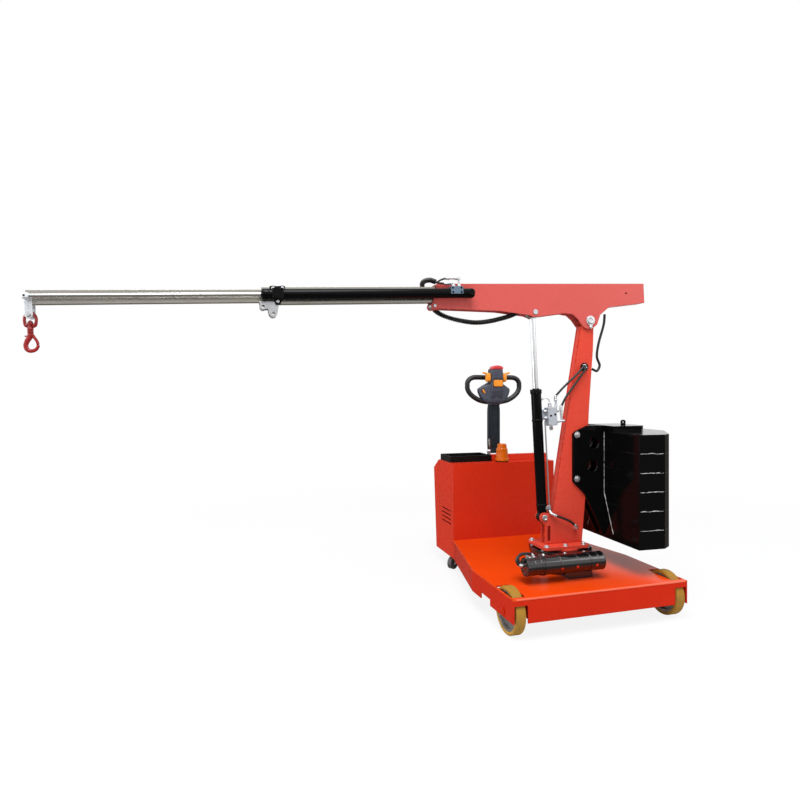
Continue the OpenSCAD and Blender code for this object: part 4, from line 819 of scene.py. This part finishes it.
# blocks on the hub's back and the stem, then the gas spring as a tube of two radii
def addTillerStem():
    vents = [tillerBlock("vent", 1, tiller["ventStep"] * k) for k in range(4)]
    buildPiece("tillerBack", [tillerBlock("back")] + vents, "tiller", "blackPlastic", 50)
    # stem: raised ridges and side rails, a collar under the head
    trim = [tillerBlock(key, side) for key in ("ridge", "rail") for side in (-1, 1)]
    buildPiece("stemTrim", trim + [tillerBlock("band")], "tiller", "navyPlastic", 50)
    # gas spring behind the stem's foot: a thin rod, then its barrel
    line, _ = smoothPath(onTiller(tiller["spring"]), 30)
    thin, thick = tiller["springRadius"]
    radius = np.where(np.linspace(0, 1, 30) < tiller["springRod"], thin, thick)
    buildPiece("gasSpring", [tubeGrid(line, radius, 18, (0, 1, 0))], "tiller", "chromedRod", 40)


addTillerHead()
addTillerControls()
addTillerLoops()
addTillerButton()
addTillerStem()
print("tiller made")


# beacon lens: height and radius of its profile, and the flutes on its body
beacon = {"y": 0.716, "z": 0.709, "flutes": 14, "depth": 0.0011, "body": (0.034, 0.074), "fade": 0.004, "profile": [
    (0.000, 0.0455), (0.003, 0.0470), (0.015, 0.0462), (0.019, 0.0440), (0.0195, 0.0420), (0.027, 0.0415),
    (0.034, 0.0405), (0.070, 0.0380), (0.078, 0.0372), (0.083, 0.0358), (0.086, 0.0335), (0.0875, 0.0322),
    (0.090, 0.0318), (0.108, 0.0306), (0.113, 0.0280), (0.116, 0.0225), (0.1162, 0.0120), (0.1162, 0.0020)]}


# r(h, w) = profile(h) - depth |cos(flutes w)|^0.6 on the body
def addBeacon():
    p = np.array(beacon["profile"])
    step = np.append(np.arange((len(p) - 1) * 5) / 5, len(p) - 1.0)
    h, r = [np.interp(step, np.arange(len(p)), p[:, k])[:, None] for k in (0, 1)]
    w = np.linspace(0, 2 * np.pi, 168, endpoint=False)
    foot, top = beacon["body"]
    body = np.clip((h - foot) / beacon["fade"], 0, 1) * np.clip((top - h) / beacon["fade"], 0, 1)
    radius = r - beacon["depth"] * body * np.abs(np.cos(beacon["flutes"] * w)) ** 0.6
    grid = np.stack([radius * np.cos(w), beacon["y"] + radius * np.sin(w), beacon["z"] + np.repeat(h, 168, 1)], -1)
    buildPiece("beaconLens", [grid], "chassis", "beaconOrange", 40, ["beacon_lens"])


addBeacon()
print("beacon made")


# hoses: points in mm and how they are placed, radius, body (or two bodies with the points near each, and then the
# hose is left where it stands), a direction that keeps the tube from twisting, lengths of the pressed sleeves at its
# ends, node replaced
hoses = {
    "valveHoseNear": ([(turned, [(-134, 29, 1323), (-134, 36, 1323), (-118, 46, 1316), (-84, 52, 1284),
                                 (-44, 52, 1249), (0, 48, 1210), (34, 42, 1174)]),
                       (onRam, [(-97, 38, 660), (-97, 38, 636.3)])],
                      0.006, ("superstructure", "luff_cylinder", 1, -2), (0.2, 0.3, 1), (0.010, 0.032),
                      ["valve_hose_near"]),
    "valveHoseFar": ([(turned, [(-143, 29, 1310), (-143, 35, 1310), (-130, 42, 1296), (-90, 44, 1248),
                                (-51, 44, 1199), (-12, 42, 1150), (10, 40, 1110)]),
                      (onRam, [(-128, 38, 600), (-128, 38, 577.3)])],
                     0.006, ("superstructure", "luff_cylinder", 1, -2), (1, 0.3, 0.1), (0.010, 0.032),
                     ["valve_hose_far"]),
    "footHose": ([(onRam, [(-37, 18, 43.7), (-37, 18, 34)]),
                  (turned, [(73, 36, 508), (48, 47, 497), (14, 53, 484), (-26, 56, 466), (-58, 55, 442),
                            (-75, 50, 424), (-76, 40, 420), (-76, 25.3, 420)])],
                 0.0065, ("superstructure", "luff_cylinder", -2, 0), (0.1, 0.6, 1), (0.062, 0.055), ["foot_hose"]),
    "rearCable": ([(turned, [(-296, -8, 1622), (-290, -10, 1560), (-260, -14, 1456), (-250, -16, 1380),
                             (-268, -16, 1330), (-250, -14, 1298), (-226, -10, 1302), (-189, -8, 1318)])],
                  0.007, ("superstructure", "boom", -1, 0), (0.1, 1, 0.1), (0.0, 0.02), ["rear_cable"]),
    "motorHose": ([(asIs, [(-262, -165, 319.3), (-262, -165, 328), (-280, -165, 341), (-312, -167, 345),
                           (-348, -176, 339), (-368, -187, 320), (-362, -196, 302), (-350, -200, 295),
                           (-343.3, -200, 295)])],
                  0.007, "chassis", (0.1, 1, 0.15), (0.024, 0.018), ["motor_hose"]),
    "motorHoseTwo": ([(asIs, [(-288, -156, 318), (-290, -153, 328), (-302, -147, 338), (-322, -146, 338),
                              (-340, -153, 326), (-343, -166, 308), (-333, -176, 297), (-322, -182, 294)])],
                     0.006, "chassis", (0.1, 1, 0.15), (0.022, 0.016), []),
    "boomConduit": ([(onBoom, [(416.3, 0, 58), (424, 0, 58), (440, 0, 51), (494, 0, 33), (596, 0, 12), (684, 0, 6),
                               (769, 0, 18), (828, -8, 35), (866, -32, 57), (890, -58, 84), (906, -66, 112),
                               (926, -67, 158), (950, -58, 204), (954, -30, 226), (937, 18, 228), (916, 52, 213)])],
                    0.0138, "boom", (0.1, 1, -0.2), (0.0, 0.0), ["boom_conduit"]),
    # thin hoses that take over from the port pipes
    "portHoseHigh": ([(onBoom, [(845, 65, 228), (868, 65, 227), (892, 64, 220), (908, 61, 211), (918, 56, 208)])],
                     0.0048, "boom", (0.1, 1, -0.2), (0.020, 0.0), []),
    "portHoseLow": ([(onBoom, [(843, 65, 203), (868, 65, 202), (892, 64, 204), (908, 60, 207), (918, 54, 210)])],
                    0.0048, "boom", (0.1, 1, -0.2), (0.034, 0.0), []),
}
corrugation = {"pieces": ["boomConduit"], "pitch": 0.0092, "depth": 0.18}
# the sleeve's wall over the hose, its pressed rings, its thin mouth, and the thicker nut at its root
sleeve = {"wall": 0.0022, "ring": 0.0007, "rings": 5, "mouth": 0.0015, "nut": 0.0034, "nutLength": 0.22}


# points along a path at the arc lengths s
def alongPath(path, s, where):
    return np.stack([np.interp(where, s, path[:, k]) for k in range(3)], -1)


# sleeve: r = hose + wall + ring cos(2 pi rings t), with t from the free end of the hose
def sleeveGrid(path, s, radius, ref, length, atStart):
    t = np.linspace(0, 1, 26) if atStart else np.linspace(1, 0, 26)
    part = np.linspace(0, length, 26) if atStart else np.linspace(s[-1] - length, s[-1], 26)
    size = radius + sleeve["wall"] + sleeve["ring"] * np.cos(2 * np.pi * t * sleeve["rings"]) \
        - sleeve["mouth"] * (t > 0.96)
    size = np.where(t < sleeve["nutLength"], radius + sleeve["nut"], size)
    return tubeGrid(alongPath(path, s, part), size, 16, ref)


# hose: a tube along its smoothed points, corrugated where listed, with a sleeve at each end that has one
def addHose(name, stretches, radius, body, ref, sleeves, replaces):
    hand = np.concatenate([placed(mm(points)) for placed, points in stretches])
    if not isinstance(body, str):
        body = (*body[:2], hand[body[2]], hand[body[3]])
    path, s = smoothPath(hand, max(60, len(hand) * 14))
    r, look = np.full(len(s), radius), "hoseRubber"
    if name in corrugation["pieces"]:  # r = r0 (1 - depth + depth cos(2 pi s / pitch))
        pitch, depth, look = corrugation["pitch"], corrugation["depth"], "conduitRubber"
        fine = np.linspace(0, s[-1], int(s[-1] / pitch * 6))
        path, s = alongPath(path, s, fine), fine
        r = radius * (1 - depth + depth * np.cos(2 * np.pi * s / pitch))
    buildPiece(name, [tubeGrid(path, r, 16, ref)], body, look, 60, replaces)
    ends = [sleeveGrid(path, s, radius, ref, length, k == 0) for k, length in enumerate(sleeves) if length > 0]
    if ends:
        buildPiece(name + "Sleeves", ends, body, "zincSteel", 40)


for hoseName, values in hoses.items():
    addHose(hoseName, *values)
print("hoses made")


# steel pipes: body, finish, nodes replaced, then how each is placed, its points in mm, points, radius, sides
pipes = {
    # a thin pipe from the upper port round to the barrel
    "valvePipe": ("luff_cylinder", "zincSteel", [], [
        (onRam, [(-66, 26, 624), (-66, 24, 640), (-60, 18, 652), (-46, 10, 654), (-34, 4, 648), (-29, 0, 640)],
         60, 0.004, 14)]),
    # two pipes rise from the port block and turn towards the conduit
    "portPipes": ("boom", "zincSteel", ["port_pipes"], [
        (onBoom, [(793, 65, 183), (793, 65, 200), (793, 65, 219), (796, 65, 226), (806, 65, 228), (828, 65, 228),
                  (846, 65, 228)], 70, 0.0056, 20),
        (onBoom, [(824, 65, 183), (824, 65, 192), (826, 65, 199), (832, 65, 203), (846, 65, 203)], 50, 0.0052, 20)]),
}


# each pipe is a plain tube along its smoothed points
def addPipes():
    for name, (body, look, replaced, rows) in pipes.items():
        grids = [tubeGrid(smoothPath(placed(mm(points)), count)[0], radius, sides, (0.1, 1, 0.1))
                 for placed, points, count, radius, sides in rows]
        buildPiece(name, grids, body, look, 60, replaced)


addPipes()
print("pipes made")


# plain rounded blocks: body, finish, how they are placed, half sizes, power and centres
blocks = {
    "clampEars": ("boom", "blackPaint", onBoom, (0.0145, 0.019, 0.013), 6.0,
                  [(1.692, 0.0555, 0.178), (1.735, 0.0555, 0.178)]),
    # strap across the slewing drive's flange, from the ports down to the front
    "flangeStrap": ("chassis", "blackGloss", asIs, (0.0045, 0.040, 0.0030), 5.0, [(-0.2435, -0.2255, 0.3415)]),
}


# each block is a superellipsoid at its centre
def addBlocks():
    for name, (body, look, placed, half, power, centres) in blocks.items():
        buildPiece(name, [placed(softBlock(centre, half, power)) for centre in centres], body, look, 50)


addBlocks()
print("blocks made")


# front wheels: place, radius, half width, wall, radius of the shoulders, and the caps' distance from the middle
wheels = {"x": 0.455, "y": -0.288, "r": 0.115, "half": 0.026, "wall": 0.018, "shoulder": 0.007, "cap": 0.025}


# section round the axle: half width h(k), radius r(k), with rounded shoulders
def addTyres():
    w = np.linspace(0, 2 * np.pi, 120, endpoint=False)
    turn = np.linspace(0, np.pi / 2, 7)
    half, r, s = wheels["half"], wheels["r"], wheels["shoulder"]
    crown = np.concatenate([np.stack([-(half - s) - s * np.cos(turn), r - s + s * np.sin(turn)], -1),
                            np.stack([(half - s) + s * np.sin(turn), r - s + s * np.cos(turn)], -1)])
    inner = r - wheels["wall"]
    wall = np.array([[-half, r - s], [-half, inner + 0.002], [-half + 0.002, inner], [-half + 0.006, inner]])

    def ring(section):
        return np.stack([np.repeat(section[:, :1], 120, 1), section[:, 1:] * np.cos(w),
                         section[:, 1:] * np.sin(w)], -1)
    for name, side in (("Left", -1), ("Right", 1)):
        centre = np.array([side * wheels["x"], wheels["y"], r])
        body = "front_wheel_" + name.lower()
        band = ring(crown)[:, ::-1] + centre
        buildPiece("tyreBand" + name, [(band, False, False)], body, "treadTan", 50, ["tyre_" + name.lower()])
        sides = [(ring(wall) + centre, False, False),
                 (ring(wall * np.array([-1, 1]))[:, ::-1] + centre, False, False)]
        buildPiece("tyreSides" + name, sides, body, "treadYellow", 50)
        out = np.array([wheels["cap"], 0, 0])
        caps = latheGrids(centre + out, alongX, profiles["bearingCap"], 40, 0) \
            + latheGrids(centre - out, againstX, profiles["bearingCap"], 40, 0)
        buildPiece("bearingCaps" + name, caps, body, "zincSteel")


addTyres()
print("tyres made")


# weld beads: radius, depth and length of the ripple, how much the bead breaks up, limits of its radius
welds = {"slab": 0.0015, "cheek": (0.0014, 0.0018), "foot": 0.0032, "corner": 0.0016, "ripple": 0.25, "pitch": 0.004,
         "breakUp": 1.2, "limits": (0.06, 1.8), "step": 0.0016}


# bead: a tube whose radius ripples, r (1 + ripple sin(2 pi s / pitch) + breakUp * smoothed noise)
def weldBead(path, radius, ref, wander, seed):
    length = np.linalg.norm(np.diff(path, axis=0), axis=1).sum()
    path, s = smoothPath(path, max(24, int(length / welds["step"])))
    noise = np.random.default_rng(seed).normal(0, 1, len(s))
    slow, slower = (np.convolve(noise, np.ones(k) / k, "same") for k in (9, 21))
    ripple = welds["ripple"] * np.sin(2 * np.pi * s / welds["pitch"])
    r = radius * np.clip(1 + ripple + welds["breakUp"] * slow, *welds["limits"])
    return tubeGrid(path + wander * slower[:, None] * np.array([0, 0, 1.0]), r, 8, ref)


# beads between the slabs and along the cheek plates, light grey as painted glint, red ones on the column
def addWelds():
    low, top = place["slabBottom"] - 0.001, place["slabTop"]
    seams = low + (top - low) / place["slabs"] * np.arange(1, place["slabs"])
    beads = []
    for k, z in enumerate(seams):
        for side in (1, -1):  # side faces, and the rear corners
            p = turned([(-0.268, side * 0.3277, z), (-0.330, side * 0.3308, z), (-0.405, side * 0.3346, z)])
            q = turned([(-0.480, side * 0.2863, z), (-0.620, side * 0.0937, z)])
            beads += [weldBead(p, welds["slab"], alongZ, 0.006, 11 * k + side + 3),
                      weldBead(q, welds["slab"], alongZ, 0.005, 17 * k + side + 40)]
    buildPiece("slabWelds", beads, "superstructure", "weldBead", 60)
    cheeks, foot = [], []
    for side in (1, -1):
        x, y = -0.2595, side * 0.0375
        p = turned([(x, y, 0.952), (x, y, 0.780), (x, y, 0.613)])
        q = turned([(x, y, 0.613), (x, side * 0.078, 0.500), (x, side * 0.119, 0.392)])
        cheeks += [weldBead(p, welds["cheek"][0], alongY, 0.0, 5 + side),
                   weldBead(q, welds["cheek"][1], alongY, 0.0, 8 + side)]
        # red beads: round the column's foot and down its front corners
        y = side * 0.0255
        p = turned([(-0.122, y, 0.3415), (0.0, y, 0.3415), (0.106, y, 0.3415)])
        y = side * 0.0175
        q = turned([(0.0555, y, 0.532), (-0.0325, y, 1.038), (-0.1195, y, 1.540)])
        foot += [weldBead(p, welds["foot"], alongZ, 0.0, 60 + side),
                 weldBead(q, welds["corner"], alongY, 0.0, 70 + side)]
    buildPiece("cheekWelds", cheeks, "superstructure", "weldBead", 60)
    # the column's beads take the skirts' red, darkened as painted shade
    buildPiece("columnWelds", foot, "superstructure", "redPaint", 60)


addWelds()
print("welds made")


# the deck's front rim, and how deep it is sunk into the corner
rims = {"r": 0.0052, "sink": 0.0034, "end": 0.012}


# round edge: a tube along the corner, sunk so that it stands 1.8 mm proud of both faces, its lighter red a painted
# highlight
def addRims():
    low, high = (np.array(v, float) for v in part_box("deck"))
    y, z, end = low[1] + rims["sink"], high[2] - rims["sink"], rims["end"]
    path, _ = smoothPath([(low[0] + end, y, z), (0.0, y, z), (high[0] - end, y, z)], 160)
    buildPiece("deckRim", [tubeGrid(path, rims["r"], 16, (0, 1, 0.1))], "chassis", "redRimHighlight", 60)


addRims()
print("rims made")

# boom tip and hook: lengths in mm, except for the straps
hook = {
    # x and height under the bolt, half thickness in the hook's plane, half depth across it, in mm
    "body": [(1, -74, 11.3, 9.0), (0.5, -82, 12.3, 9.0), (-4, -96, 11.7, 8.8), (-12.5, -112, 10.4, 8.6),
             (-17.2, -128, 9.8, 8.4), (-14, -143.5, 9.4, 8.4), (-4, -152.3, 8.6, 8.2), (9.5, -152.6, 7.9, 7.8),
             (21.5, -146.2, 7.3, 7.2), (28.6, -134.5, 6.5, 6.6), (29.7, -126.4, 6.2, 6.4)],
    "jaw": [(6.5, -84.5, 7.6, 5.3), (13.0, -92.5, 6.8, 5.5), (20.0, -102.0, 6.0, 6.4), (26.3, -113.5, 6.0, 6.6),
            (29.6, -126.2, 6.2, 6.4)],
    "hinge": (7.0, -84.7),
    "ring": {"half": 22.6, "top": 11.8, "low": -45.6, "bar": 5.4, "side": 0.9, "swell": 1.9},
    # height over the neck's foot and radius: neck, then the domed nut inside the ring
    "neck": [(0, 10.8), (1, 12.3), (9.5, 12.3), (11.5, 10.6), (21, 10.6), (22.5, 11.0), (23, 11.5), (32, 11.5),
             (35.5, 10.2), (40, 7.0), (43.5, 2.4)],
    "neckFoot": -64.6,
    "strap": {"half": 0.0155, "top": 0.166, "inside": 0.019, "thick": 0.006},
    # the bolt's distance along the boom and height over the pivot
    "bolt": (2.759, 0.0765),
    # centre, half sizes, power, rows and columns
    "trigger": ((-0.0175, 0, -0.0900), (0.0050, 0.0036, 0.0028), 3.0, 12, 24),
    "endCap": ((2.770, 0, 0.152), (0.0028, 0.0255, 0.0315), 12.0, 24, 48),
    "rodBlock": ((2.754, 0.053, 0.151), (0.0125, 0.028, 0.0135), 7.0, 24, 48),
    "head": [(0, 0.0108), (0.0010, 0.0121), (0.0085, 0.0121), (0.0105, 0.0108)],
    "pin": [(0, 0.0046), (0.0012, 0.0046), (0.0018, 0.0038), (0.0018, 0.0018)], "pinSide": 0.0088,
    "shaft": [(0, 0.006), (0.002, 0.006), (0.036, 0.006), (0.038, 0.006)],
}


# flat bar along a path in the x-z plane: P(s, w) = path + t(s) cos w * across + d(s) sin w * y
def flatBar(rows, bolt, count=90, sides=28):
    rows = np.array(rows, float) / 1000.0
    line = np.stack([rows[:, 0], np.zeros(len(rows)), rows[:, 1]], -1)
    path, s = smoothPath(line, count)
    hand = np.concatenate([[0], np.cumsum(np.linalg.norm(np.diff(line, axis=0), axis=1))])
    hand = hand / hand[-1] * s[-1]
    thick, deep = np.interp(s, hand, rows[:, 2]), np.interp(s, hand, rows[:, 3])
    end = np.minimum(s, s[-1] - s) / 0.0010  # the last millimetre is rounded in
    soft = np.sqrt(np.clip(1 - (1 - np.clip(end, 0, 1)) ** 2, 0.12, 1))
    return tubeGrid(path + bolt, thick * soft, sides, (0, 1, 0), (deep / thick)[:, None, None])


# plate: an outline in boom lengths and heights, between two distances from the boom's middle, edges bevelled
def bevelPlate(outline, b0, b1, bevel=0.0010):
    o = np.asarray(outline, float)
    inner = o + (o.mean(0) - o) / np.linalg.norm(o.mean(0) - o, axis=1, keepdims=True) * bevel
    sign = 1 if b1 > b0 else -1
    rows = [(inner, b0), (o, b0 + sign * bevel), (o, b1 - sign * bevel), (inner, b1)]
    grid = np.stack([np.stack([q[:, 0], np.full(len(q), b), q[:, 1]], -1) for q, b in rows])
    return onBoom(grid)


# ring: superellipse, round above and squarer below, x = a cos^(2/n) t, z = m + b sin^(2/n) t
def ringGrid(bolt):
    k = hook["ring"]
    t = np.linspace(0, 2 * np.pi, 128, endpoint=False)
    n = 2.0 + 2.6 * np.clip(-np.sin(t), 0, 1)
    c, q = np.cos(t), np.sin(t)
    x = k["half"] * squared(c, n)
    z = (k["top"] + k["low"]) / 2 + (k["top"] - k["low"]) / 2 * squared(q, n)
    path = np.stack([x, np.zeros(128), z], -1) / 1000.0 + bolt
    size = (k["bar"] + k["side"] * np.clip(1 - q, 0, 1) + k["swell"] * np.clip(-q, 0, 1) ** 2) / 1000.0
    # one ring more at each end gives the seam its true direction
    wrapped = np.concatenate([path[-1:], path, path[:1]])
    return tubeGrid(wrapped, np.concatenate([size[-1:], size, size[:1]]), 24, (0, 1, 0))[1:-1]


# body: head under the neck, spine and bowl in one bar, trigger, hinge pin
def addHook(bolt):
    foot = bolt + np.array([0, 0, hook["neckFoot"] / 1000.0])
    neck = latheGrids(foot, alongZ, np.array(hook["neck"]) / 1000.0, 40, 0)
    buildPiece("hookRing", [(ringGrid(bolt), True, False)] + neck, "hook_link", "hookRed", 60, ["hook_ring"])
    hx, hz = hook["hinge"]
    pinAt = bolt + np.array([hx, 0, hz]) / 1000.0
    out = np.array([0, hook["pinSide"], 0])
    centre, *shape = hook["trigger"]
    parts = [flatBar(hook["body"], bolt), softBlock(bolt + np.array(centre), *shape)]
    parts += latheGrids(foot - np.array([0, 0, 0.0010]), againstZ, hook["head"], 40, 0)
    parts += latheGrids(pinAt - out, againstY, hook["pin"], 24, 0) + latheGrids(pinAt + out, alongY, hook["pin"], 24, 0)
    buildPiece("hookBody", parts, "hook", "hookRed", 50, ["hook_body"])
    buildPiece("hookJaw", [flatBar(hook["jaw"], bolt, 60)], "hook_gate", "hookRed", 50, ["hook_jaw"])


# bracket: straps with a round foot about the bolt, end cap, rod block, the bolt's shaft
def addTipBracket():
    m, (a, h) = hook["strap"], hook["bolt"]
    w = np.linspace(np.pi, 2 * np.pi, 25)
    low = np.stack([a + m["half"] * np.cos(w), h + m["half"] * np.sin(w)], -1)
    side = np.linspace(h + 0.006, m["top"] - 0.002, 10)
    right = np.stack([np.full(10, a + m["half"]), side], -1)
    left = np.stack([np.full(10, a - m["half"]), side[::-1]], -1)
    corner = np.array([[a + m["half"] - 0.002, m["top"]], [a - m["half"] + 0.002, m["top"]]])
    outline = np.concatenate([low, right, corner, left])
    b0, b1 = m["inside"], m["inside"] + m["thick"]
    parts = [bevelPlate(outline, b0, b1), bevelPlate(outline[::-1], -b0, -b1)]
    parts += [onBoom(softBlock(*hook[key])) for key in ("endCap", "rodBlock")]
    parts += latheGrids(onBoom((a, b0, h)), alongY, hook["shaft"], 32, 0)
    buildPiece("tipBracket", parts, "inner_boom", "zincBright", 40, ["tip_bracket"])


addHook(onBoom((hook["bolt"][0], 0.0, hook["bolt"][1])))
addTipBracket()
print("boom tip and hook made")
